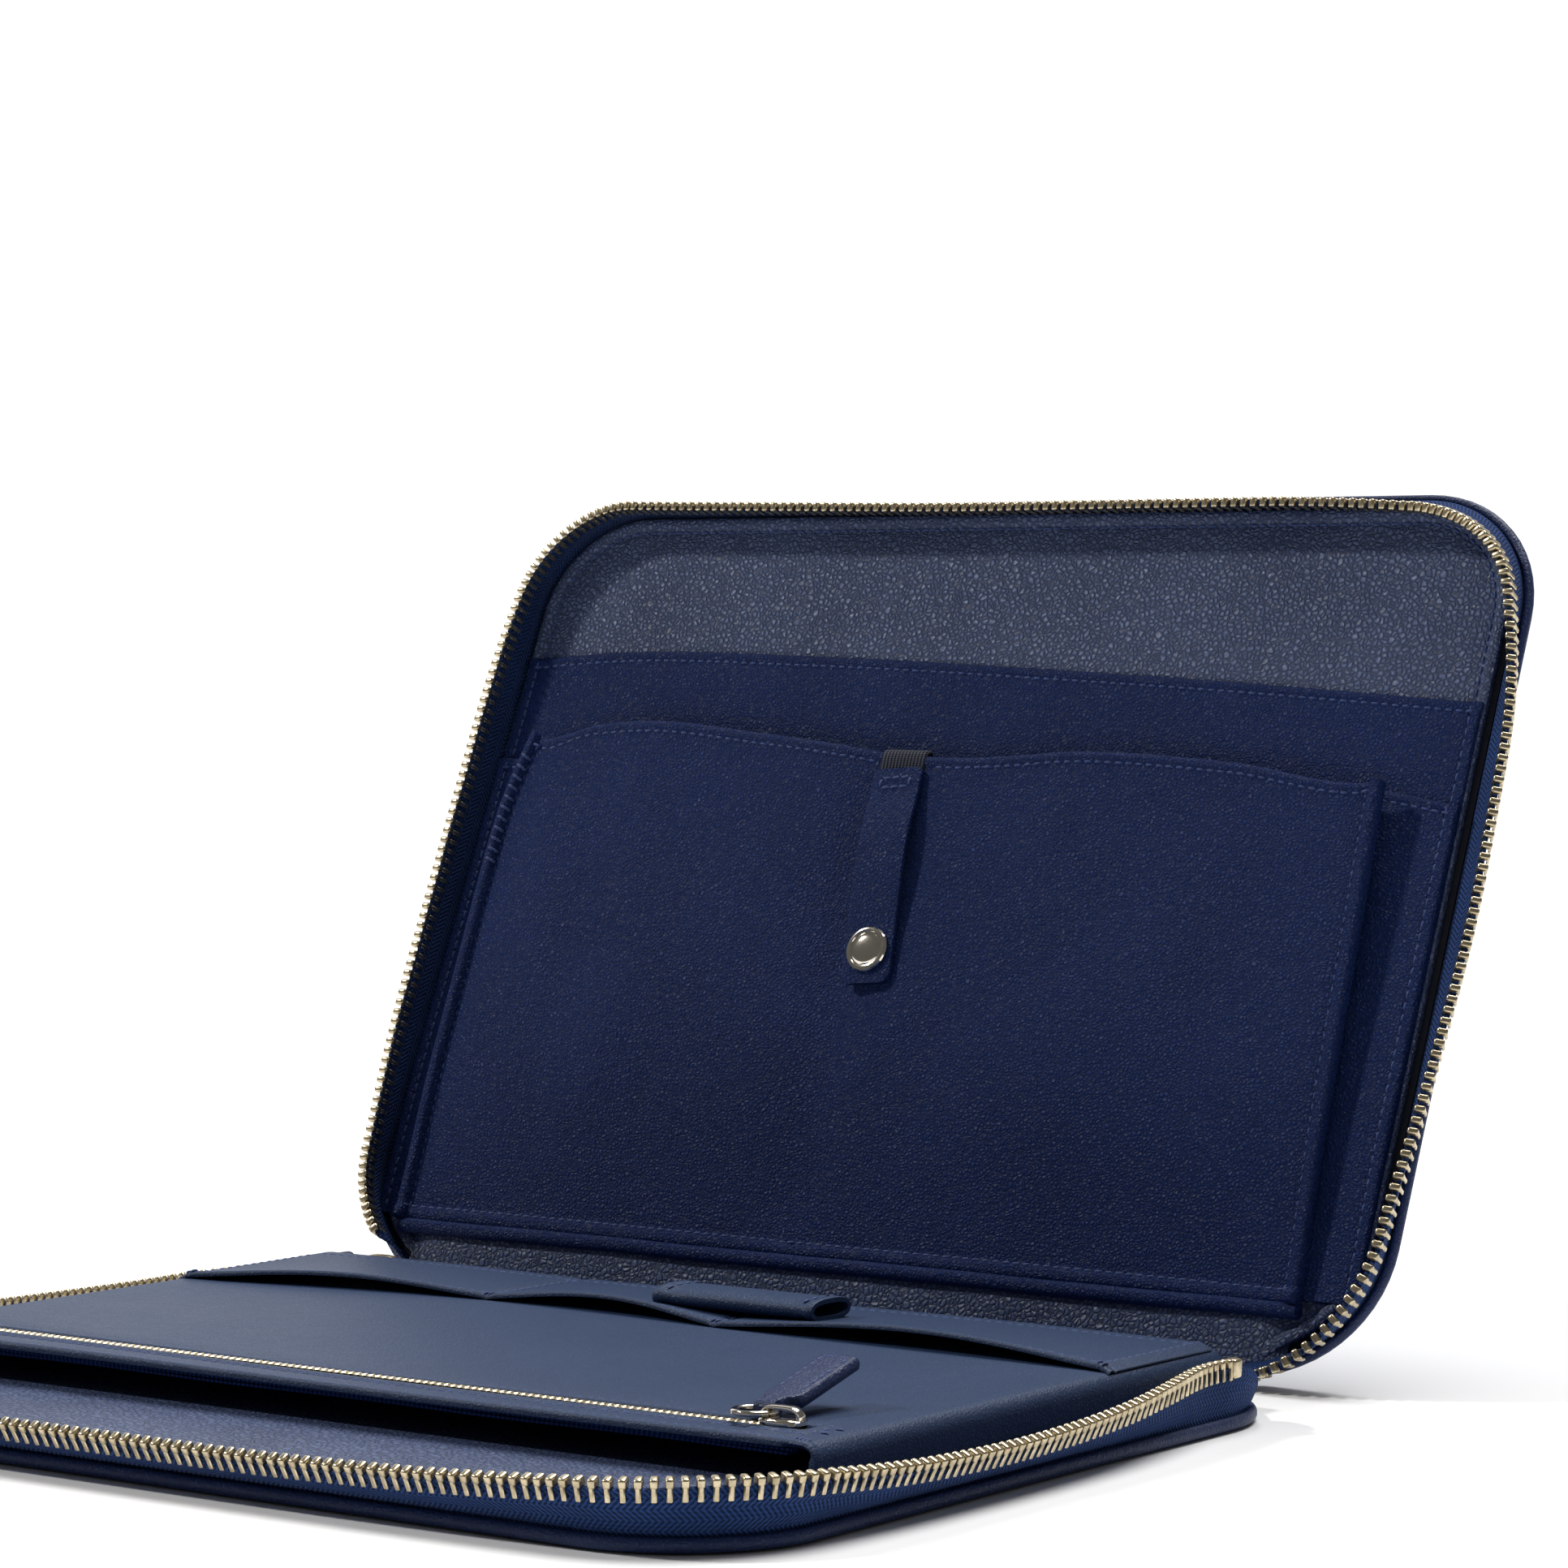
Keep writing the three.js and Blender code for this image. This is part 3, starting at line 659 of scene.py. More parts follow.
# Tilt of the zip tape away from upright, outward above zero, at places along the zipped edge.
LOWER_TILT = [(0, 60), (50, 72), (80, 70), (150, 62), (250, 57), (390, 54), (430, 45), (466, 22), (484, 17),
              (518, 45), (555, 52), (590, 44), (612, 28), (630, 6), (640, -10), (648, -8), (656, 25),
              (664, 50), (EDGE_LENGTH, 60)]
LID_TILT = [(0, 0), (40, -12), (80, 6), (170, 11), (205, -10), (245, -16), (330, -25), (430, -24), (465, -38),
            (497, 8), (520, 46), (575, 55), (620, 36), (652, 15), (672, 28), (EDGE_LENGTH, 48)]


def tape_frames(stations, tilts, steps=9, short=0.0):
    """
    Points from the tape's root to its top edge at each station, the tape's upward direction there and the
    shell's outward direction. The tape rises out of the rim, leans by its tilt and straightens near the
    teeth. short takes that much off the top.
    """
    place, out = edge_point(stations, TAPE_INSET)
    where = np.array([t[0] for t in tilts])
    soft = np.linspace(-14, 14, 9)
    angles = np.mean([np.interp(stations + d, where, [t[1] for t in tilts]) for d in soft], 0)
    angle = np.radians(angles)
    root = np.column_stack([place, np.full(len(place), TAPE_BASE)])
    out3 = np.column_stack([out, np.zeros(len(out))])
    up3 = np.array([0.0, 0.0, 1.0])
    knee = root + up3 * TAPE_RISE
    tip = root + up3 * (LEAN_FROM - TAPE_BASE)
    tip = tip + (np.sin(angle)[:, None] * out3 + np.cos(angle)[:, None] * up3) * TOOTH_REACH
    chord = tip - knee
    length = np.linalg.norm(chord, axis=1)
    lean = np.arctan2(np.sum(chord * out3, 1), chord[:, 2])
    bend = 0.4 * lean
    first = lean + bend
    middle = knee + (np.sin(first)[:, None] * out3 + np.cos(first)[:, None] * up3) * (
        length / 2 / np.cos(bend))[:, None]
    rows = [root, root + up3 * TAPE_RISE * 0.5]
    ups = [np.tile(up3, (len(root), 1))] * 2
    for t in np.linspace(0, 1 - short / TOOTH_REACH, steps):
        rows.append((1 - t) ** 2 * knee + 2 * t * (1 - t) * middle + t * t * tip)
        ups.append(unit((1 - t) * (middle - knee) + t * (tip - middle)))
    return np.array(rows), np.array(ups), out3


def add_tape(prefix, cad, body, place, tilts, start, stop, end_round):
    """The zip's cloth tape. Its far end is rounded off over end_round mm."""
    stations = np.arange(start, stop, 1.6)
    rows, ups, out = tape_frames(stations, tilts, short=TAPE_STOPS_SHORT)
    sides = unit(out[None] - ups * np.sum(out[None] * ups, 2, keepdims=True))
    ripple = 0.25 * np.sin(stations / 9.0) + 0.15 * np.sin(stations / 4.1 + 1)
    grow = np.linspace(0, 1, len(rows))[:, None]
    rows = rows + sides * (ripple[None, :] * grow ** 2)[:, :, None]
    left = np.clip((stop - stations) / end_round, 0, 1)
    keep = 0.22 + 0.78 * np.sin(left * math.pi / 2) ** 0.8
    rows = rows[:1] + (rows - rows[:1]) * keep[None, :, None]
    thick = np.full((len(rows), 1, 1), TAPE_HALF_THICK)
    thick[-1] = 0.5
    skins = [np.transpose(rows + way * sides * thick, (1, 0, 2)) for way in (1, -1)]
    across = path_length(rows[:, 0])
    tape = add_piece(f"{prefix}_tape", grid_solid(*skins), TAPE, body, (f"{cad}_zip_tape",), place,
                     smooth=60, uv=grid_uv(*np.meshgrid(stations, across, indexing="ij")))


def tooth_template():
    """One metal zip tooth: a rounded head over two legs that clamp the tape's edge."""
    parts = [rounded_block((-0.76, -1.2, -0.95), (0.76, 1.2, 0.95), 0.5, 3)]
    for side in (-1, 1):
        points, faces = rounded_block((-0.52, -0.32, -3.3), (0.52, 0.32, -0.4), 0.2, 1)
        points[:, 1] += side * (0.84 - 0.03 * points[:, 2])
        parts.append((points, faces))
    return merged(parts)


def stop_template():
    """The metal stop at the end of a row of teeth."""
    return rounded_block((-1.6, -1.35, -3.0), (1.6, 1.35, 0.9), 0.6, 3)


def add_shell(prefix, cad, body, place, tilts, tape_range, teeth_range, end_round):
    add_piece(f"{prefix}_shell", ring_stack(COVER_SECTION), OUTER, body, (f"{cad}_cover",), place)
    lining = ring_stack(LINING_SECTION, LINING_TOP, LINING_REAR_REACH)
    add_piece(f"{prefix}_inside", lining, PEBBLE, body, (f"{cad}_lining",), place)
    add_tape(prefix, cad, body, place, tilts, *tape_range, end_round)
    start, stop = teeth_range
    for name, cad_part, template, stations in (
            ("teeth", "zip_teeth", tooth_template(), np.arange(start, stop, TOOTH_PITCH)),
            ("end_stop", "zip_end_stop", stop_template(), np.array([stop + 1.2]))):
        rows, ups, out = tape_frames(stations, tilts)
        up = ups[-1]
        side = unit(out - up * np.sum(out * up, 1, keepdims=True))
        copies = scattered(template, rows[-1], np.cross(side, up), side, up)
        add_piece(f"{prefix}_{name}", copies, GOLD, body, (f"{cad}_{cad_part}",), place, smooth=35)
    loop, rear = full_loop(LINING_SEAM)
    start = int(np.argmax(rear > 0.99))
    loop, rear = np.roll(loop, -start, axis=0), np.roll(rear, -start)
    kept = rear < 0.75
    path = columns(*loop[kept].T, LINING_TOP - 0.05)
    path[:, 1] += rear[kept] * LINING_REAR_REACH * 0.53
    add_stitches(f"{prefix}_inside", [stitch_row(path)], body, place=place, slot="lining_leather")


add_shell("lower", "lower", "lower_half", lower_place, LOWER_TILT,
          tape_range=(21, 661), teeth_range=(22.5, 643.5), end_round=14.0)
add_shell("lid", "upper", "lid", lid_shell_place, LID_TILT,
          tape_range=(18.5, 690), teeth_range=(21, 686), end_round=3.0)


# ---- leather leaves


def fine_lines(length, near=(0, 0.35, 0.8, 1.4, 2.0, 2.4, 2.8, 3.4, 4.4, 6.5), step=6.0):
    """Distances along a length, close together near its ends."""
    near = np.array(near, float)
    tail = length - near[::-1]
    count = max(2, int((tail[0] - near[-1]) / step) + 1)
    return np.concatenate([near[:-1], np.linspace(near[-1], tail[0], count), tail[1:]])


def hem(distance, width=2.4, raise_by=0.32, dip=0.22):
    """Height of a turned and stitched edge over the leaf, by distance from the edge."""
    d = np.asarray(distance, float)
    crown = raise_by * np.sqrt(np.clip(1 - ((d - width * 0.45) / (width * 0.62)) ** 2, 0, 1))
    roll = -0.55 * np.clip(1 - d / 0.7, 0, 1) ** 2
    groove = -dip * bump((d - width) / 0.75)
    return crown + roll + groove


def spline(points):
    """A smooth curve y(x) through a few points."""
    xs, ys = np.array(points, float).T
    slopes = np.gradient(ys, xs)

    def value(x):
        x = np.clip(np.asarray(x, float), xs[0], xs[-1])
        k = np.clip(np.searchsorted(xs, x, side="right") - 1, 0, len(xs) - 2)
        h = xs[k + 1] - xs[k]
        t = (x - xs[k]) / h
        a = (1 + 2 * t) * (1 - t) ** 2 * ys[k] + t * (1 - t) ** 2 * h * slopes[k]
        b = t * t * (3 - 2 * t) * ys[k + 1] + t * t * (t - 1) * h * slopes[k + 1]
        return a + b

    return value


class Leaf:
    """A leather pocket leaf of the lid, with a curved top edge, turned hems and seams."""

    def __init__(self, left, right, bottom, top, level, thickness, shape, side_hem=2.6, side_ridge=0.0,
                 bottom_hem=False, tuck=None):
        self.left, self.right, self.bottom, self.top = left, right, bottom, top
        self.level, self.thickness, self.shape = level, thickness, shape
        self.side_hem, self.side_ridge, self.bottom_hem, self.tuck = side_hem, side_ridge, bottom_hem, tuck
        self.width = 0.5 * (right[0] - left[0] + right[1] - left[1])
        self.height = float(top(0.5 * (left[1] + right[1])) - bottom)

    def sides(self, y):
        """The left and right edges at y. A tuck draws the left one in towards its top corner."""
        share = (y - self.bottom) / 225
        left = self.left[0] + (self.left[1] - self.left[0]) * share
        if self.tuck is not None:
            reach, start, over = self.tuck
            left = left + reach * np.clip((y - start) / over, 0, 1.2) ** 2
        return left, self.right[0] + (self.right[1] - self.right[0]) * share

    def surface(self, u, v):
        """The outer face at u mm in from the left, over the middle width, and v mm down from the top."""
        top = self.top(self.left[1] + (self.right[1] - self.left[1]) * u / self.width)
        y = top - v / self.height * (top - self.bottom)
        left, right = self.sides(y)
        x = left + (right - left) * u / self.width
        top_hem = hem(v)
        side_hem = hem(np.minimum(u, self.width - u), self.side_hem, 0.45 + self.side_ridge)
        w = self.level(x, y) + self.thickness + self.shape(x, y)
        w = w + np.where(v < 2.4, np.maximum(top_hem, side_hem - 0.1), top_hem + side_hem)
        if self.bottom_hem:
            w = w + hem(self.height - v, 3.0, 0.5)
        return columns(x, y, w)

    def solid(self):
        top = self.surface(*np.meshgrid(fine_lines(self.width), fine_lines(self.height)))
        x, y = top[..., 0], top[..., 1]
        return grid_solid(top, columns(x, y, self.level(x, y) + self.shape(x, y)))

    def row(self, start, end):
        """Stitches from one (u, v) to another on the leaf."""
        start, end = np.array(start, float), np.array(end, float)
        count = max(3, int(np.linalg.norm(end - start) / 3))
        u, v = (start + (end - start) * np.linspace(0, 1, count)[:, None]).T
        du = self.surface(u + 1.5, v) - self.surface(u - 1.5, v)
        dv = self.surface(u, v - 1.5) - self.surface(u, v + 1.5)
        return stitch_row(self.surface(u, v) - 0.1 * UP, np.cross(du, dv))

    def add(self, name, rows, cad):
        add_piece(name, self.solid(), NAVY, "lid", (cad,), smooth=50)
        add_stitches(name, rows, "lid")


SLIP_SIDE = HALF_WIDTH - 5.0
SLIP_THICKNESS = 1.0
SLIP_BOTTOM = -86.0
SLIPS = {
    # level, how far its bottom is pressed down, and points along the top edge
    "rear_slip_pocket": (4.1, 0.5, [(-132, 59.0), (-106, 61.0), (-47, 60.3), (44, 56.2), (132, 50.3)]),
    "middle_slip_pocket": (5.4, 1.2, [(-132, 31.5), (-60, 33.8), (40, 33.0), (100, 30.2), (118, 28.0),
                                      (132, 25.6)]),
}


def add_lid_slip(name, level, press, top):
    def soft(x, y):
        wave = 0.35 * np.sin(x / 31.0 + level) * smoothstep((y + 60) / 80)
        return wave * np.clip(1 - np.abs(x) / 128, 0, 1) - press * (1 - smoothstep((y + 86) / 40))

    leaf = Leaf((-SLIP_SIDE, -SLIP_SIDE), (SLIP_SIDE, SLIP_SIDE), SLIP_BOTTOM, spline(top),
                lambda x, y: level, SLIP_THICKNESS, soft)
    rows = [leaf.row((1.5, 2.4), (leaf.width - 1.5, 2.4))]
    rows += [leaf.row((u, 0.5), (u, leaf.height - 1)) for u in (2.6, leaf.width - 2.6)]
    leaf.add(f"lid_{name}", rows, name)


for slip_name, slip_shape in SLIPS.items():
    add_lid_slip(slip_name, *slip_shape)

DIVIDER_X = -13.0
SEAM_PRESS = 1.4


def front_level(x, y):
    """The leaf's inner face: the CAD leaf's plane, pressed down towards its bottom seam."""
    press = SEAM_PRESS * (1 - smoothstep((y - FRONT_BOTTOM) / 40))
    return FRONT_BASE + (y - FRONT_BOTTOM) * FRONT_SLOPE - press


def shoulder(t, power=5.0):
    """A flat-topped swell over 0..1."""
    return 1 - np.abs(2 * np.clip(t, 0, 1) - 1) ** power


def front_shape(x, y):
    """Soft bulges of the front leaf: one each side of the divider, with creases down from its corners."""
    up = np.clip((y - FRONT_BOTTOM) / 124.5, 0, 1)
    left = shoulder((x + 120) / (DIVIDER_X + 120))
    right = shoulder((x - DIVIDER_X) / (116 - DIVIDER_X))
    room = smoothstep(up * 2.2) * (1 - 0.55 * smoothstep((up - 0.45) / 0.55))
    belly = (3.7 * left + 2.9 * right) * room
    wander = 4 * np.sin(y / 23.0)
    crease = -0.8 * bump((x + 92 + wander) / 12) + 0.6 * bump((x + 76 + wander) / 14)
    crease += -0.8 * bump((x - 20 - wander) / 12) - 0.7 * bump((x - 88 - wander) / 13)
    crease += 0.5 * np.sin(x / 19.0 + y / 31.0) + 0.3 * np.sin(x / 10.0 - y / 14.0)
    valley = -0.55 * bump((x - DIVIDER_X) / 3.0)
    inside = smoothstep((x + 117) / 10) * smoothstep((112 - x) / 10)
    ripple = 0.22 * np.sin(x / 6.0 + y / 15.0) * (1 - up) ** 2
    return belly + (crease * room + ripple * smoothstep(up * 8)) * inside + valley


def add_front_pocket():
    top = spline([(-123, 36.9), (-117.5, 34.4), (-104, 37.9), (-88, 39.0), (-48, 36.1), (-13, 32.4),
                  (-1, 31.5), (40, 33.6), (77, 31.7), (109, 28.0), (113, 28.6)])
    leaf = Leaf((-124.5, -122.5), (119.5, 112.8), FRONT_BOTTOM, top, front_level, 1.1, front_shape,
                side_hem=3.2, side_ridge=1.3, bottom_hem=True, tuck=(5.2, 6.0, 31.0))
    width, height = leaf.width, leaf.height
    divider, strap = DIVIDER_X + 122.5, STRAP_X + 122.5
    ends = [
        ((2.5, 2.4), (strap - 8.5, 2.4)), ((strap + 8.5, 2.4), (width - 2.5, 2.4)),
        ((3.6, 1.5), (3.6, height - 2)), ((width - 3.6, 1.5), (width - 3.6, height - 2)),
        ((1.5, height - 3.1), (width - 1.5, height - 3.1)), ((divider, 4.0), (divider, height - 4)),
    ]
    rows = [leaf.row(*pair) for pair in ends]
    bar = stitch_template(2.8, 0.7, 0.5)
    for down in np.arange(6.0, 34.0, 2.6):
        across = leaf.surface(np.array([0.9, 2.2, 3.7]), np.full(3, down))
        rows.append(stitch_row(across - 0.1 * UP, UP, 2.8, bar))
    leaf.add("lid_front_pocket", rows, "front_pocket")


add_front_pocket()

PIPING_LOW, PIPING_HIGH = cad_box_mm("front_pocket_piping")


def add_front_piping():
    """The rolled edge under the front pocket."""
    xs = np.linspace(PIPING_LOW[0] - 1.5, PIPING_HIGH[0] + 1.5, 90)
    sag = 0.25 * np.sin(xs / 14.0) + 0.12 * np.sin(xs / 5.0)
    path = columns(xs, FRONT_BOTTOM - 1.3 + sag * 0.4, FRONT_BASE - SEAM_PRESS + 0.5)
    add_piece("lid_front_piping", tube(path, BACK, UP, round_section(3.6, 3.2, 14, 2.3)), NAVY, "lid",
              ("front_pocket_piping",), smooth=60)


def add_front_gussets():
    """The wedges of leather at the front pocket's sides."""
    for side, outward, low_x, high_x, tuck in (("left", -1.0, -119.6, -117.4, 4.2),
                                               ("right", 1.0, 116.0, 110.6, 0.0)):
        ys = np.linspace(FRONT_BOTTOM + 2, 25, 60)[:, None]
        x = low_x + (high_x - low_x) * (ys - ys[0]) / (ys[-1] - ys[0])
        x = x + tuck * np.clip((ys - 6) / 31, 0, 1) ** 2
        share = np.linspace(0, 1, 6)
        foot = front_level(0, ys) - 0.3 - (ys - ys[0]) * FRONT_SLOPE
        reach = front_level(0, ys) - foot
        fold = 1.4 * np.sin(math.pi * share) * np.clip(reach / 4, 0.1, 1)
        inner = columns(x + outward * fold, ys, foot + reach * share)
        add_piece(f"lid_gusset_{side}", grid_solid(inner + outward * 0.9 * RIGHT, inner), NAVY, "lid",
                  (f"front_gusset_{side}",), smooth=60)


def add_bottom_band():
    """The lining's lower margin, which swells up to the seam under the front pocket."""
    xs = np.linspace(PIPING_LOW[0] + 1.5, PIPING_HIGH[0] - 0.5, 100)
    ys = np.linspace(-HALF_DEPTH + 0.8, FRONT_BOTTOM - 0.6, 14)
    gx, gy = np.meshgrid(xs, ys)
    inner = np.minimum(gx - xs[0], xs[-1] - gx)
    swell = (1.25 * smoothstep((gy + 99.5) / 9) + 0.1 * np.sin(gx / 9 + gy / 4)) * smoothstep(inner / 7)
    sink = 0.7 * (1 - smoothstep(inner / 3)) + 0.5 * (1 - smoothstep((gy - ys[0]) / 2))
    band = grid_solid(columns(gx, gy, LINING_TOP + 0.16 + swell - sink), columns(gx, gy, LINING_TOP - 0.75))
    add_piece("lid_bottom_band", band, PEBBLE, "lid", smooth=60)


add_front_piping()
add_front_gussets()
add_bottom_band()


# ---- strap, webbing and snap

STRAP_WIDTH = 13.0
SNAP_REACH = 45.0


def add_strap():
    curve = np.array([(-0.3, 2.9), (-3.0, 3.1), (-7.0, 3.5), (-12, 4.5), (-19, 5.3), (-26, 5.3), (-33, 4.9),
                      (-39, 4.4), (-SNAP_REACH, 4.1), (-50, 4.0), (-52.9, 3.9)])
    along = np.linspace(0, path_length(curve)[-1], 60)
    path = smoothed(columns(0, *curve.T), 60)
    up = np.cross(RIGHT, -tangents(path))
    up *= np.sign(up[:, 2:3])
    rings = []
    for i in range(60):
        left = along[-1] - along[i]
        ending = min(1.0, math.sqrt(max(0.0, left * 5.2 - left ** 2)) / 2.6 if left < 2.6 else 1.0)
        narrow = (1 - 0.28 * (1 - ending)) * min(1.0, 0.9 + 0.1 * along[i] / 0.8)
        section = round_section(STRAP_WIDTH * narrow, 1.6, 24, 5.0)
        rings.append(path[i] + section[:, :1] * RIGHT + section[:, 1:] * up[i])
    add_piece("strap_leather", stacked(rings), NAVY, "strap", ("cable_strap",), smooth=50)

    def line(x, down, pitch):
        level = np.interp(down, along, path[:, 2]) + 0.78
        return stitch_row(columns(x, np.interp(down, along, path[:, 1]), level), pitch=pitch)

    rows = [line([-3.6, 0, 3.6], down, 2.4) for down in (2.4, 4.8)]
    rows += [line(x, [1.8, 3.6, 5.4], 2.0) for x in (-3.9, 3.9)]
    add_stitches("strap", rows, "strap")


def add_webbing():
    """A folded band over the leaf's top edge, in front, over the edge and behind."""
    loop = np.array([(113.5, -0.75), (117, -0.8), (120.1, -0.65), (121.2, 0.4), (120.9, 1.6), (119.6, 2.1),
                     (117.2, 2.0), (112.5, 1.75)])
    path = smoothed(columns(STRAP_X, *loop.T), 28, 2)
    shape = tube(path, RIGHT, np.cross(tangents(path), RIGHT), round_section(12.4, 0.66, 16, 6.0))
    band = add_piece("strap_webbing_band", shape, WEBBING, "lid", ("strap_webbing",), leaning_place,
                     smooth=60)


def lathe(profile, steps=40, closed=False):
    """(points, faces) of pairs of radius and level turned about Z."""
    c, s = circle(steps)
    return stacked([columns(r * c, r * s, z) for r, z in profile], closed)


def add_snap():
    cap = lathe([(0.4, 4.75), (4.9, 4.75), (5.3, 5.0), (5.35, 5.35), (5.1, 5.7), (4.6, 5.85), (4.3, 5.8),
                 (4.15, 5.65), (3.9, 5.6), (3.7, 5.75), (3.3, 5.95), (2.4, 6.15), (1.2, 6.27), (0.3, 6.3)])
    socket = lathe([(1.9, 2.25), (4.3, 2.2), (4.5, 2.5), (4.4, 3.0), (4.0, 3.25), (2.1, 3.25), (1.8, 2.9)],
                   28, closed=True)
    post = lathe([(0.3, 1.45), (4.4, 1.45), (4.5, 1.7), (4.3, 1.95), (1.7, 2.05), (1.55, 2.9), (1.3, 3.2),
                  (0.3, 3.25)], 28)
    for name, (points, faces), body, cad in (("snap_cap_dome", cap, "strap", "snap_cap"),
                                             ("snap_socket_ring", socket, "strap", "snap_socket"),
                                             ("snap_stud_post", post, "lid", "snap_stud")):
        add_piece(name, (points - SNAP_REACH * BACK, faces), NICKEL, body, (cad,), strap_place, smooth=30)


add_strap()
add_webbing()
add_snap()


# ---- lower half: tablet pocket panel

PANEL_TOP = PANEL_HIGH[2]
PANEL_FRONT = PANEL_LOW[1]
PANEL_REAR = PANEL_HIGH[1]
PANEL_FOOT = LINING_TOP + 0.3
PANEL_ROUND = 3.2
PANEL_ARC = PANEL_ROUND * math.pi / 2
PANEL_FLAT = PANEL_HIGH[0] - PANEL_ROUND
CHAIN_LOW, CHAIN_HIGH = cad_box_mm("inner_zip_chain")
ZIP_Y = (CHAIN_LOW[1] + CHAIN_HIGH[1]) / 2
ZIP_LEFT = cad_box_mm("inner_zip_stop_left")[0][0]
ZIP_RIGHT = cad_box_mm("inner_zip_stop_right")[1][0]
SLIT_HALF = 2.1
LIP_LINES = (0, 0.3, 0.8, 1.4, 2.0, 2.7, 3.4)


def panel_soft(x, y):
    """Soft sag of the pocket's top."""
    sag = -0.35 * np.cos(math.pi * x / 240) * bump((y - 10) / 70)
    return sag + 0.12 * np.sin(x / 27.0 + y / 19.0)


def panel_surface(run, y):
    """The panel across its width: run is the distance over it from the middle, down the side walls."""
    d = np.abs(run)
    turn = np.clip((d - PANEL_FLAT) / PANEL_ARC, 0, 1) * math.pi / 2
    down = np.clip(d - PANEL_FLAT - PANEL_ARC, 0, None)
    x = np.sign(run) * (np.minimum(d, PANEL_FLAT) + PANEL_ROUND * np.sin(turn) - 0.1 * down)
    z = PANEL_TOP - PANEL_ROUND * (1 - np.cos(turn)) - down
    return x, z + np.where(d < PANEL_FLAT, panel_soft(x, y), 0)


def lip(distance):
    """Height of the turned leather lip round the zip slit."""
    crown = 0.34 * np.sqrt(np.clip(1 - ((distance - 1.0) / 1.3) ** 2, 0, 1))
    return crown - 0.5 * np.clip(1 - distance / 0.5, 0, 1) ** 2 - 0.18 * bump((distance - 2.7) / 0.6)


def panel_point(run, y, lift=0.0):
    x, z = panel_surface(run, y)
    out_of_slit = np.maximum(np.abs(y - ZIP_Y) - SLIT_HALF, np.maximum(ZIP_LEFT - x, x - ZIP_RIGHT))
    z = z + np.where(out_of_slit < 3.4, lip(np.clip(out_of_slit, 0, None)), 0)
    front = y - PANEL_FRONT
    return columns(x, y, z + np.where(front < 3.5, hem(front, 2.6, 0.3), 0) + lift)


def add_panel():
    wall = PANEL_TOP - PANEL_ROUND - PANEL_FOOT
    half = np.concatenate([PANEL_FLAT + PANEL_ARC + wall * np.array([1, 0.5]),
                           np.linspace(PANEL_FLAT + PANEL_ARC, PANEL_FLAT, 7)])
    middle = np.linspace(-PANEL_FLAT, PANEL_FLAT, 41)[1:-1]
    slit = [end + way * d for end, way in ((ZIP_LEFT, -1), (ZIP_RIGHT, 1)) for d in LIP_LINES]
    runs = np.unique(np.concatenate([-half, half, middle[np.abs(middle) < 96], slit]))
    front = [PANEL_FRONT + d for d in (0, 0.35, 0.8, 1.4, 2.0, 2.6, 3.2, 4.0)]
    near = [ZIP_Y + side * (SLIT_HALF + d) for side in (-1, 1) for d in LIP_LINES]
    ys = np.unique(np.concatenate([front, near, np.linspace(ZIP_Y + 12, PANEL_REAR, 22)]))
    run, y = np.meshgrid(runs, ys)
    top = panel_point(run, y)
    cell_x, cell_y, _ = np.moveaxis((top[1:, 1:] + top[:-1, :-1]) / 2, -1, 0)
    hole = (np.abs(cell_y - ZIP_Y) < SLIT_HALF) & (cell_x > ZIP_LEFT) & (cell_x < ZIP_RIGHT)
    normal = unit(np.cross(np.gradient(top, axis=1), np.gradient(top, axis=0)))
    x, z = panel_surface(run, y)
    under = columns(x, y, z) - np.where(np.abs(run)[..., None] < PANEL_FLAT, UP, normal) * 1.15
    add_piece("pocket_panel_leather", grid_solid(top, under, hole), NAVY_PANEL, "lower_half",
              ("pocket_panel", "pocket_gusset_left", "pocket_gusset_right"), smooth=50)
    puff = 0.5 * np.sin(math.pi * np.linspace(0, 1, 5))
    levels = np.linspace(PANEL_FOOT, PANEL_TOP - 1.3, 5)
    face = columns(np.linspace(-PANEL_FLAT, PANEL_FLAT, 60)[:, None], PANEL_REAR - 0.9 + puff, levels)
    add_piece("pocket_rear_wall", grid_solid(face, face - BACK), NAVY_PANEL, "lower_half",
              ("pocket_gusset_rear",), smooth=60)


def panel_row(points_xy, lift=-0.05, pitch=STITCH_PITCH, template=None):
    line = np.asarray(points_xy, float)
    length = path_length(line)[-1]
    fine = resampled(line, np.linspace(0, length, max(3, int(length / 4))))[0]
    return stitch_row(panel_point(*fine.T, lift), UP, pitch, template)


def add_panel_stitches():
    end = 2.7
    seam = SLIT_HALF + end
    left, right = ZIP_LEFT - end, ZIP_RIGHT + end
    rows = [panel_row([(-PANEL_FLAT + 1, PANEL_FRONT + 2.6), (PANEL_FLAT - 2, PANEL_FRONT + 2.6)])]
    rows += [panel_row([(left, y), (right, y)], 0.0) for y in (ZIP_Y + seam, ZIP_Y - seam)]
    rows += [panel_row([(x, ZIP_Y - seam + 1), (x, ZIP_Y + seam - 1)], 0.0) for x in (right, left)]
    for y in (ZIP_Y + 2.4, ZIP_Y - 2.4):
        rows.append(panel_row([(ZIP_RIGHT + 3.1, y), (ZIP_RIGHT + 7.0, y)], 0.05, 2.0))
    tack = stitch_template(2.6, 0.62, 0.42)
    for side in (-1, 1):
        for i in range(4):
            x = side * (PANEL_FLAT - 2.5 + i * 0.8)
            rows.append(panel_row([(x, PANEL_FRONT + 1), (x, PANEL_FRONT + 5)], 0.15 - 0.1 * i, 2.6, tack))
    add_stitches("pocket_panel", rows, "lower_half")


add_panel()
add_panel_stitches()


# ---- inner zip

INNER_TOOTH_PITCH = 0.85


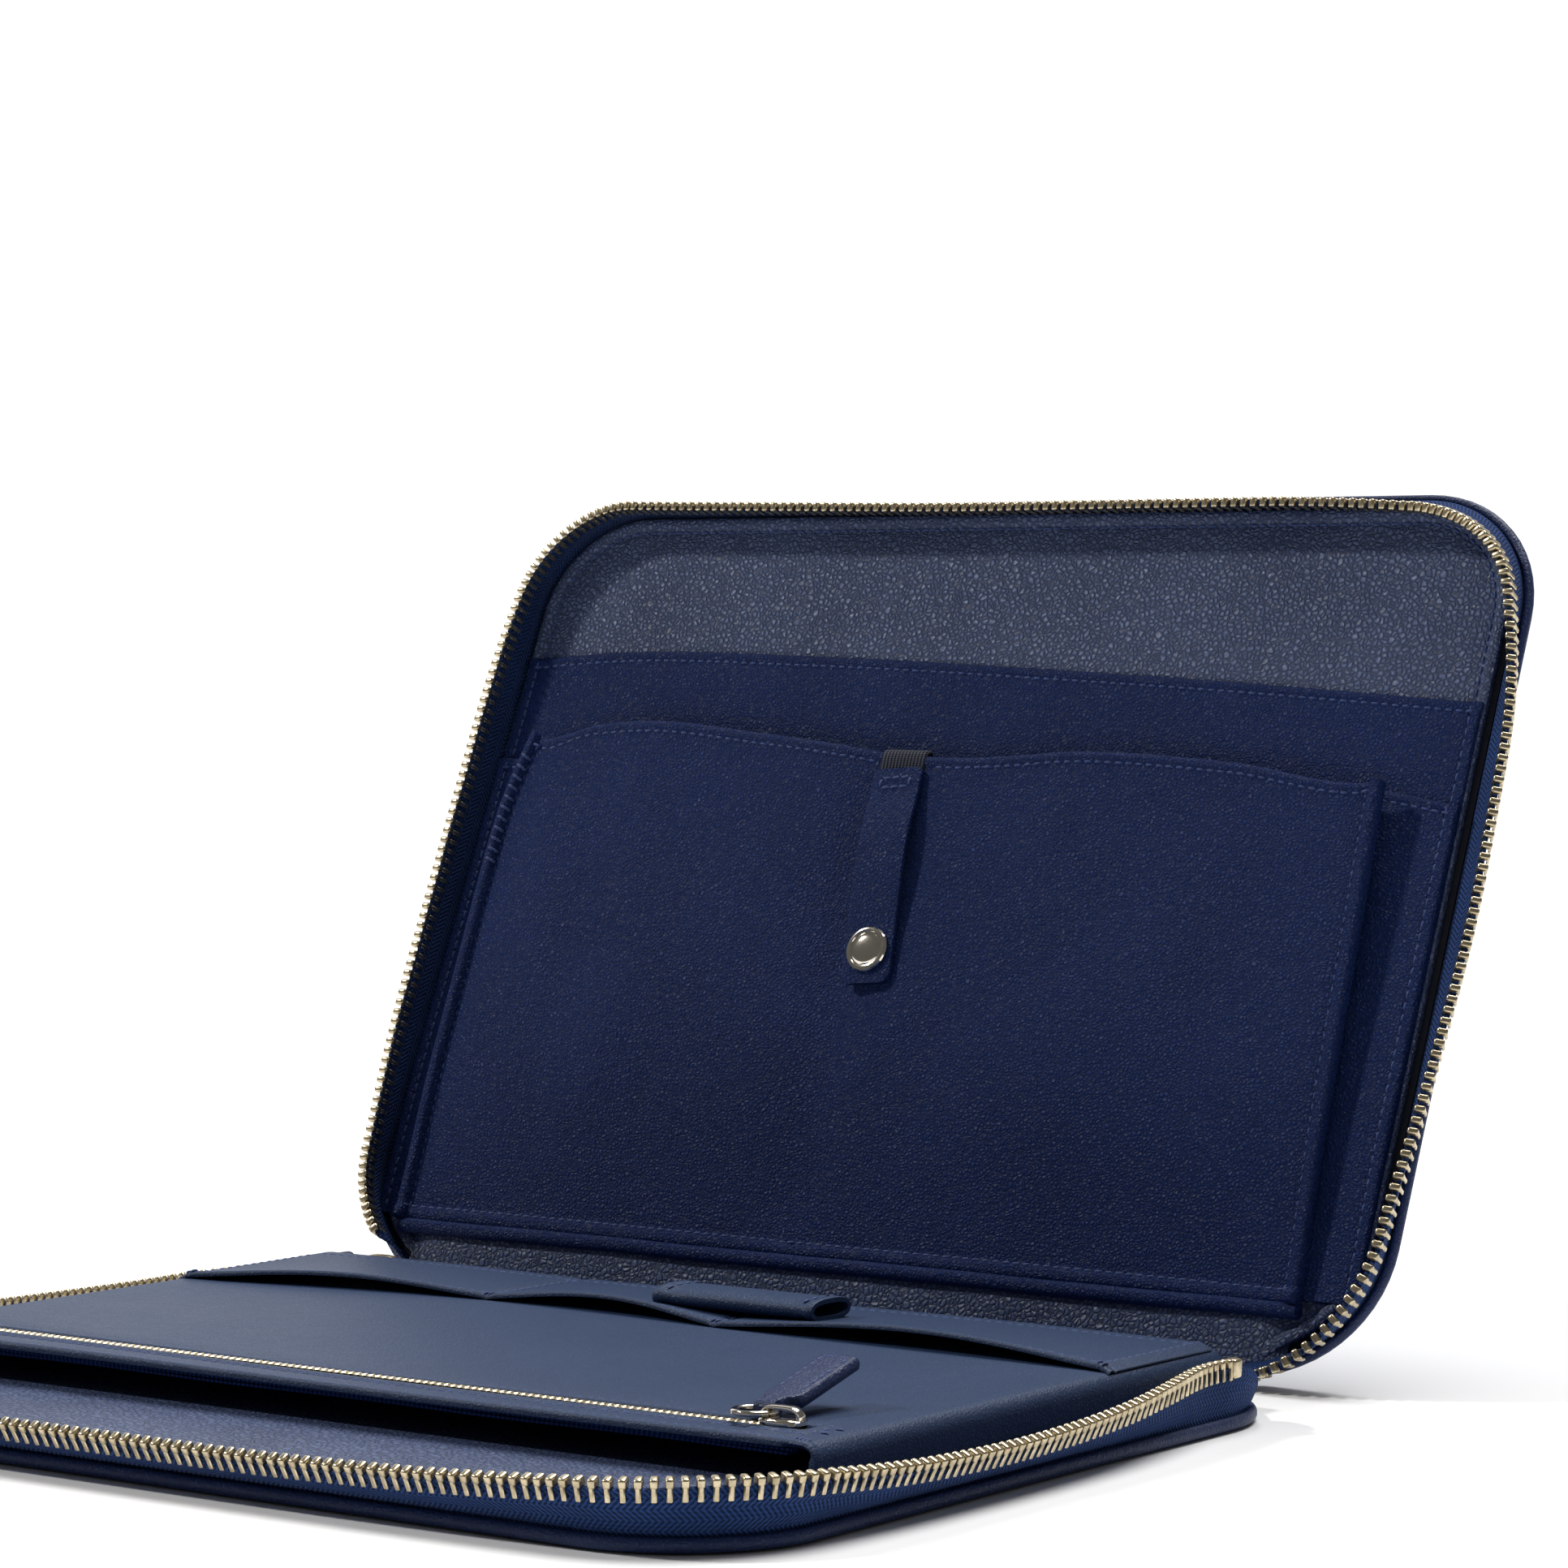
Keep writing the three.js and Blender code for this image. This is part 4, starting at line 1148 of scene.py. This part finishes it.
def add_inner_zip():
    low, high = cad_box_mm("inner_zip_tape_front")
    rear = cad_box_mm("inner_zip_tape_rear")
    parts, uvs = [], []
    for seam, edge in ((low[1], high[1]), (rear[1][1], rear[0][1])):
        gx, gy = np.meshgrid(np.linspace(low[0], high[0], 70),
                             np.linspace(min(seam, edge), max(seam, edge), 9))
        raised = 0.35 * smoothstep(((gy - seam) / (edge - seam) - 0.8) / 0.2)
        parts.append(grid_solid(columns(gx, gy, low[2] + 0.5 + raised), columns(gx, gy, low[2])))
        uvs.append(grid_uv(gx, gy))
    strips = add_piece("inner_zip_strips", merged(parts), TAPE, "lower_half",
                       ("inner_zip_tape_front", "inner_zip_tape_rear"), smooth=50, uv=np.concatenate(uvs))
    tooth = merged([rounded_block((-0.34, -1.35, -0.45), (0.34, 0.5, 0.5), 0.14, 1),
                    rounded_block((-0.42, 0.1, -0.4), (0.42, 0.75, 0.45), 0.16, 1)])
    xs = np.arange(CHAIN_LOW[0] + 0.4, CHAIN_HIGH[0] - 0.4, INNER_TOOTH_PITCH)
    side = np.where(np.arange(len(xs)) % 2 == 0, 1.0, -1.0)
    slant = 0.22
    teeth = scattered(tooth, columns(xs, ZIP_Y, CHAIN_HIGH[2] - 0.3), RIGHT - slant * BACK,
                      columns(side * slant, side, 0), UP)
    add_piece("inner_zip_teeth", teeth, GOLD, "lower_half", ("inner_zip_chain",), smooth=35)


def add_backing():
    """The zip pocket's cloth bag under the panel."""
    low, high = cad_box_mm("zip_pocket_backing")
    gx, gy = np.meshgrid(np.linspace(low[0], high[0], 60), np.linspace(low[1], high[1], 26))
    sag = -0.9 * bump(gx / 116) * bump((gy - (low[1] + high[1]) / 2) / 46) + 0.12 * np.sin(gx / 11 + gy / 8)
    top = columns(gx, gy, high[2] - 0.12 + sag)
    cloth = add_piece("zip_pocket_cloth", grid_solid(top, top - 0.5 * UP), TAPE, "lower_half",
                      ("zip_pocket_backing",), smooth=60, uv=grid_uv(gx, gy))


add_inner_zip()
add_backing()


# ---- slip pockets and pen loop on the panel

SLIP_LOW, SLIP_HIGH = cad_box_mm("slip_pocket_panel")
SLIP_HALF = SLIP_HIGH[0] + 1.6
JUNCTIONS = [(-118.5, 46.0), (-42.0, 60.0), (20.0, 58.0), (118.5, 54.0)]
MOUTHS = [(JUNCTIONS[i][0], JUNCTIONS[i + 1][0], gape) for i, gape in enumerate((2.3, 2.6, 3.0))]


def slip_open(x, gapes=False):
    """How open each slip pocket is across its mouth: 0 at a junction, and 1 or its gape in the middle."""
    opened = np.zeros_like(np.asarray(x, float))
    for x0, x1, gape in MOUTHS:
        t = np.clip((x - x0) / (x1 - x0), 0, 1)
        opened += np.sin(math.pi * t) ** 1.2 * ((x >= x0) & (x <= x1)) * (gape if gapes else 1)
    return opened


def slip_edge(x):
    """The slip panel's front edge: it bows between its junctions."""
    return np.interp(x, *np.array(JUNCTIONS).T) + 2.2 * slip_open(x)


def slip_rise(x, y, back):
    return slip_open(x, True) * np.exp(-back / 13.0) + panel_soft(x, y)


def slip_point(x, back, lift=0.0):
    """A point of the slip panel, back mm behind its front edge."""
    y = slip_edge(x) + back
    z = SLIP_HIGH[2] + slip_rise(x, y, back) + np.where(back < 3.4, hem(back, 2.4, 0.25), 0)
    z = z - 1.1 * bump((SLIP_HALF - np.abs(x)) / 2.6)
    for junction, _ in JUNCTIONS[1:3]:
        z = z - 0.35 * bump((x - junction) / 2.2)
    return columns(x, y, z + lift)


def add_slip_panel():
    xs = []
    for x0, x1, _ in MOUTHS:
        xs += list(x0 + (x1 - x0) * (0.5 - 0.5 * np.cos(np.linspace(0, math.pi, 30))))
    for junction, _ in JUNCTIONS[1:3]:
        xs += [junction + d for d in (-2.0, -1.3, -0.7, 0.7, 1.3, 2.0)]
    xs = np.unique(np.clip(np.round(xs, 3), -SLIP_HALF, SLIP_HALF))
    backs = np.concatenate([[0, 0.35, 0.8, 1.4, 2.0, 2.4, 2.8, 3.4, 4.5, 6.5, 9, 12], np.linspace(16, 30, 6)])
    gx, nominal = np.meshgrid(xs, backs)
    back = nominal / 30 * (SLIP_HIGH[1] + 1.5 - slip_edge(gx))
    back = np.where(nominal < 7, nominal, np.maximum(back, nominal * 0.9))
    top = slip_point(gx, back)
    under = SLIP_LOW[2] + slip_rise(gx, top[..., 1], back)
    under = columns(gx, top[..., 1], np.minimum(under, top[..., 2] - 0.3))
    add_piece("slip_pocket_leather", grid_solid(top, under), NAVY_PANEL, "lower_half",
              ("slip_pocket_panel",), smooth=50)
    rows = [stitch_row(slip_point(np.linspace(x0 + 1.5, x1 - 1.5, 50), np.full(50, 2.4), -0.1))
            for x0, x1, _ in MOUTHS]
    for x, y in JUNCTIONS[1:3]:
        rows.append(stitch_row(slip_point(np.full(14, x), np.linspace(1.0, SLIP_HIGH[1] - y, 14), -0.05)))
    for side in (-1, 1):
        x = np.full(14, side * (SLIP_HIGH[0] - 1.6))
        rows.append(stitch_row(slip_point(x, np.linspace(1.0, SLIP_HIGH[1] - 52, 14), -0.2)))
    x = np.linspace(-SLIP_HALF + 3, SLIP_HALF - 3, 60)
    rows.append(stitch_row(slip_point(x, SLIP_HIGH[1] - 2.2 - slip_edge(x), -0.2)))
    tack = stitch_template(2.2, 0.6, 0.42)
    for junction, _ in JUNCTIONS:
        x = min(max(junction, -SLIP_HALF + 2.5), SLIP_HALF - 2.5)
        for aside in (-0.65, 0.52):
            line = slip_point(np.full(3, x + aside), np.array([0.2, 1.4, 2.8]), 0.1)
            rows.append(stitch_row(line, UP, 2.4, tack))
    add_stitches("slip_pocket", rows, "lower_half")


def add_pen_loop():
    low, high = cad_box_mm("pen_loop")
    middle_y = (low[1] + high[1]) / 2
    half = (high[1] - low[1]) / 2 + 0.6
    tall = (high[2] - 1.6 - low[2]) / 2
    c, s = circle(28)
    outer, inner = [], []
    for x in fine_lines(high[0] - low[0], near=(0, 0.3, 0.8, 1.6, 2.6), step=3.0) + low[0]:
        end = min(x - low[0], high[0] - x)
        edge = 0.25 * math.sqrt(max(0.0, 1 - ((end - 1.2) / 1.3) ** 2)) if end < 2.5 else 0.0
        grow = edge - 0.2 * float(bump((end - 3.0) / 0.9))
        for skin, wide, high_by in ((outer, half + grow, tall + grow), (inner, half - 0.95, tall - 0.9)):
            skin.append(columns(x, middle_y + wide * signed_power(c, 0.75),
                                low[2] + tall + high_by * signed_power(s, 0.8)))
    add_piece("pen_loop_leather", stacked(outer + inner[::-1], True), NAVY_PANEL, "lower_half", ("pen_loop",),
              smooth=50)
    y = np.linspace(middle_y - half + 1.0, middle_y + half - 1.0, 9)
    z = high[2] - 1.6 - 0.12 - 0.9 * (np.abs(y - middle_y) / half) ** 4
    rows = [stitch_row(columns(x, y, z)) for x in (low[0] + 3.0, high[0] - 3.0)]
    add_stitches("pen_loop", rows, "lower_half")


add_slip_panel()
add_pen_loop()


# ---- sliders, rings and pull tabs

WIRE = 0.62


def wire_ring(cad):
    """A round ring of wire from its CAD box."""
    low, high = cad_box_mm(cad)
    c, s = circle(36)
    out = columns(c, s, 0)
    path = (low + high) / 2 + ((high[0] - low[0]) / 2 - 0.6) * out
    return tube(path, out, UP, round_section(2 * WIRE, 2 * WIRE, 10), closed=True)


def slider_shape(cad):
    """A zip slider from its CAD box: a rounded body under an arched crown."""
    low, high = cad_box_mm(cad)
    x, y, _ = (low + high) / 2
    length, width, tall = high - low
    plate = 0.52 * tall if width > 8 else 1.3
    c, s = circle(40)
    pinch = 1 - 0.16 * (0.5 - 0.5 * c) ** 2
    outline = length / 2 * signed_power(c, 0.75), width / 2 * signed_power(s, 0.7) * pinch
    profile = ((0.7, 0.0), (0.93, 0.05), (1.0, 0.3),
               (1.0, plate - 0.35), (0.93, plate - 0.05), (0.6, plate + 0.1))
    body = stacked([columns(x + shrink * outline[0], y + shrink * outline[1], low[2] + z)
                    for shrink, z in profile])
    t = np.linspace(0, math.pi, 26)
    arch = columns(x - (length / 2 - 0.7) * signed_power(np.cos(t), 0.55), y,
                   low[2] + plate - 0.4 + (tall - 0.05 - plate) * np.sin(t) ** 0.5)
    up = unit(np.cross(tangents(arch), BACK))
    return merged([body, tube(arch, BACK, up, round_section(2.3, 1.0, 12, 3.0))])


def blade_grid(length, width, neck, thick, bend):
    """Top and bottom grids of a tab along +Y from its ring at the origin, in its own frame."""
    vs = np.concatenate([[0, 0.8, 1.6, 2.4, 3.2, 4.0, 5.0], np.linspace(6.2, length - 1.2, 16),
                         [length - 0.6, length - 0.15, length]])
    us = np.array([-1, -0.93, -0.82, -0.68, -0.5, -0.25, 0, 0.25, 0.5, 0.68, 0.82, 0.93, 1])
    half = neck / 2 + (width - neck) / 2 * smoothstep((vs - 1.2) / 3.0)
    tip = np.clip((length - vs) / 1.4, 0, 1)
    half = half * (0.84 + 0.16 * np.sqrt(1 - (1 - tip) ** 2))
    x = us[None, :] * half[:, None]
    y = np.repeat(vs[:, None], len(us), 1)
    edge = (1 - np.abs(us))[None, :] * half[:, None]
    edge = np.minimum(edge, (length - vs)[:, None])
    crown = thick / 2 * np.sqrt(np.clip(1 - (1 - np.clip(edge / 0.9, 0, 1)) ** 2, 0, 1))
    crown = crown - 0.16 * bump((edge - 1.7) / 0.6)
    middle = bend(y)
    top = np.stack([x, y, middle + np.maximum(crown, 0.12)], 2)
    under = np.stack([x, y, middle - np.maximum(crown, 0.12)], 2)
    return top, under


def add_tab(prefix, body, turn, tilt, eye_hole, length, drop, thick):
    """A pull tab on its ring's wire, at its joint. turn and tilt aim it."""
    origin = np.array(JOINTS[f"{body}_swing"]["pos_m"]) / MM
    width, neck = 9.0, 4.6
    start = eye_hole + 0.2

    def bend(y):
        return drop * smoothstep(y / 5.0)

    def aim(points):
        x, y, z = xyz(points)
        y, z = turned(y, z, tilt)
        return columns(*turned(x, y, turn), z)

    skins = blade_grid(length, width, neck, thick, bend)
    blade = grid_solid(*[skin + start * BACK for skin in skins])
    t = np.linspace(math.radians(42), math.radians(318), 22)
    out = columns(0, np.cos(t), np.sin(t))
    fold = tube(eye_hole * 1.25 * out, RIGHT, out, round_section(neck, 0.9, 14, 4.0))
    points, faces = merged([blade, fold])
    add_piece(f"{prefix}_tab", (aim(points) + origin, faces), OUTER, body, (f"{prefix}_pull",), smooth=50)
    up = aim(UP)[0]
    rows = []
    for x, y in [(side * (width / 2 - 1.75), np.linspace(6.5, length - 1.9, 14)) for side in (-1, 1)] + [
            (np.linspace(-width / 2 + 1.9, width / 2 - 1.9, 6), np.full(6, length - 1.8))]:
        line = columns(x, y + start, bend(y) + thick / 2 - 0.22)
        rows.append(stitch_row(aim(line) + origin, up, 2.3))
    add_stitches(f"{prefix}_tab", rows, body)


def add_slider(prefix, metal, slider_body, ring_body):
    add_piece(f"{prefix}_slider_metal", slider_shape(f"{prefix}_slider"), metal, slider_body,
              (f"{prefix}_slider",), smooth=45)
    add_piece(f"{prefix}_ring_wire", wire_ring(f"{prefix}_ring"), metal, ring_body, (f"{prefix}_ring",),
              smooth=60)


def add_tail():
    low, high = cad_box_mm("main_zip_tail")
    gx, gy = np.meshgrid(np.linspace(low[0], high[0], 9), np.linspace(low[1], high[1], 14))
    crown = 0.4 * bump((gx - (low[0] + high[0]) / 2) / 8)
    shape = grid_solid(columns(gx, gy, high[2] - 0.4 + crown), columns(gx, gy, high[2] - 1.2 + crown * 0.3))
    tail = add_piece("main_zip_tail_tape", shape, TAPE, "lower_half", ("main_zip_tail",), smooth=50,
                     uv=grid_uv(gy, gx))


INNER_TAB_LIFT = math.radians(JOINTS["inner_pull_swing"]["range_deg"][1])
MAIN_TAB_DROP = -math.radians(9)
add_slider("inner_zip", NICKEL, "inner_slider", "inner_ring")
add_slider("main_zip", GOLD, "lower_half", "main_ring")
add_tab("inner_zip", "inner_pull", turn=0.0, tilt=INNER_TAB_LIFT, eye_hole=1.05, length=23.4,
        drop=-0.5, thick=2.8)
add_tab("main_zip", "main_pull", turn=math.pi / 2, tilt=MAIN_TAB_DROP, eye_hole=1.1, length=30.0,
        drop=-0.55, thick=2.6)
add_tail()


# ---- spine: leather laid across both folds

SPINE_HALF = cad_box_mm("spine_outer")[1][0]
FRONT_Y, REAR_Y = SPINE_HINGE[1], LID_HINGE[1]
SPINE_MIDDLE = (FRONT_Y + REAR_Y) / 2


def spine_strip(name, path, thick, half, material, bodies, start, end, replaces=()):
    """A strip across the spine from a path of (y, z) in the row frame. The bodies and bend ends it is given
    are not used.
    """
    path = smoothed(np.asarray(path, float), 26)[:, None]
    run = tangents(path[:, 0])[:, None]
    xs = np.concatenate([[-half, -half + 0.4, -half + 1.2, -half + 2.2], np.linspace(-half + 5, half - 5, 50),
                         [half - 2.2, half - 1.2, half - 0.4, half]])
    inner = half - np.abs(xs)
    swell = 0.25 * np.sqrt(np.clip(1 - ((inner - 1.1) / 1.1) ** 2, 0, 1))
    swell = swell - 0.2 * np.clip(1 - inner / 0.4, 0, 1)
    top, under = [columns(xs, path[..., 0] - run[..., 1] * lift, path[..., 1] + run[..., 0] * lift)
                  for lift in (thick / 2 + swell, -thick / 2)]
    points, faces = grid_solid(top, under)
    piece = make_piece(name, points * MM, faces, material, smooth=50)
    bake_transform(piece)
    label(replaces)


def lid_yz(along, out):
    """(y, z) in the row frame of a point of the lid, in mm."""
    return lid_place([0, along - HALF_DEPTH, out])[0, 1:] / MM


def add_spine():
    front_bodies, rear_bodies = ("lower_half", "spine"), ("spine", "lid")
    bend_front = ((0, FRONT_Y, 1), (0, FRONT_Y + 6, 1))
    level = 0.5
    front = [(FRONT_Y + 0.05, 0.6), (FRONT_Y + 3, level), (SPINE_MIDDLE, level)]
    rear = [(SPINE_MIDDLE, level), (REAR_Y - 5, level), (REAR_Y - 1.6, 0.52), (REAR_Y + 0.4, 0.85),
            lid_yz(0.05, 0.6)]
    spine_strip("spine_outer_front", front, 1.0, SPINE_HALF, OUTER, front_bodies, *bend_front,
                ("spine_outer",))
    spine_strip("spine_outer_rear", rear, 1.0, SPINE_HALF, OUTER, rear_bodies, (0, REAR_Y - 6, 1),
                (0, REAR_Y + 1, 1))
    level = 2.2
    front = [(FRONT_Y - 6, 3.6), (FRONT_Y - 3, 3.4), (FRONT_Y + 1, 2.7), (FRONT_Y + 5, level),
             (SPINE_MIDDLE, level)]
    rear = [(SPINE_MIDDLE, level), (REAR_Y - 9, level), (REAR_Y - 6, 2.6), lid_yz(-1.0, 4.1),
            lid_yz(1.5, 3.5), lid_yz(4.5, 3.0)]
    spine_strip("spine_lining_front", front, 0.8, SPINE_HALF - 1, PEBBLE, front_bodies, *bend_front,
                ("spine_lining",))
    spine_strip("spine_lining_rear", rear, 0.8, SPINE_HALF - 1, PEBBLE, rear_bodies, (0, REAR_Y - 8, 2),
                (0, REAR_Y - 3, 2))


add_spine()


# ---- CAD nodes that stay, and what they are made of

STAYING = {"lower_board": BOARD, "upper_board": BOARD,
           "inner_zip_stop_left": GOLD, "inner_zip_stop_right": GOLD}
for node_name, node_material in STAYING.items():
    node = frame["nodes"][node_name]
    node.data.materials.clear()
    node.data.materials.append(node_material)


# ---- floor and light


def floor_material():
    s = Shader("floor", roughness=0.8, specular=0.2)
    s.surface.inputs["Base Color"].default_value = (0.9, 0.9, 0.9, 1)
    return s.material


def add_floor():
    size, level = 12.0, -0.0003
    corners = [(-size, -size, level), (size, -size, level), (size, size, level), (-size, size, level)]
    make_piece("floor", corners, [(0, 1, 2, 3)], floor_material())


SUNS = {
    # the way the light travels, its strength, its spread in degrees and its colour
    "key": ((0.95, 0.44, -0.95), 1.5, 5, (1.0, 0.985, 0.96)),
    "overhead": ((0.02, -0.42, -1.0), 3.2, 38, (1.0, 1.0, 1.0)),
}
ROOM_DIM = 0.11
ROOM_BRIGHT = 1.1
BACK_DIRECTION = (-0.5745, 0.8185, 0.0)


def aimed(travel):
    """A turn that points a lamp's -Z along the travel direction."""
    back = -unit(np.array(travel))
    across = unit(np.cross([0, 1.0, 0], back))
    return Matrix(np.column_stack([across, np.cross(back, across), back]).tolist()).to_4x4()


def add_sun(name, travel, energy, spread, colour):
    sun = bpy.data.objects.new(name, bpy.data.lights.new(name, "SUN"))
    sun.data.energy = energy
    sun.data.angle = math.radians(spread)
    sun.data.color = colour
    sun.matrix_world = aimed(travel)
    scene.collection.objects.link(sun)


def add_room():
    """A dim room that is pale behind the object."""
    world = bpy.data.worlds.new("room")
    scene.world = world
    world.use_nodes = True
    tree = world.node_tree
    direction = make_node(tree, "ShaderNodeTexCoord").outputs["Generated"]
    facing = make_node(tree, "ShaderNodeVectorMath", {0: direction, 1: BACK_DIRECTION},
                       operation="DOT_PRODUCT")
    ramp = make_node(tree, "ShaderNodeMapRange",
                     {"Value": facing.outputs["Value"], "From Min": 0.55, "From Max": 0.93,
                      "To Min": ROOM_DIM, "To Max": ROOM_BRIGHT}, interpolation_type="SMOOTHSTEP")
    background = tree.nodes["Background"]
    background.inputs["Color"].default_value = (1, 1, 1, 1)
    tree.links.new(ramp.outputs["Result"], background.inputs["Strength"])


add_floor()
for sun_name, sun_light in SUNS.items():
    add_sun(sun_name, *sun_light)
add_room()
scene.view_settings.view_transform = "Standard"
scene.view_settings.look = "None"
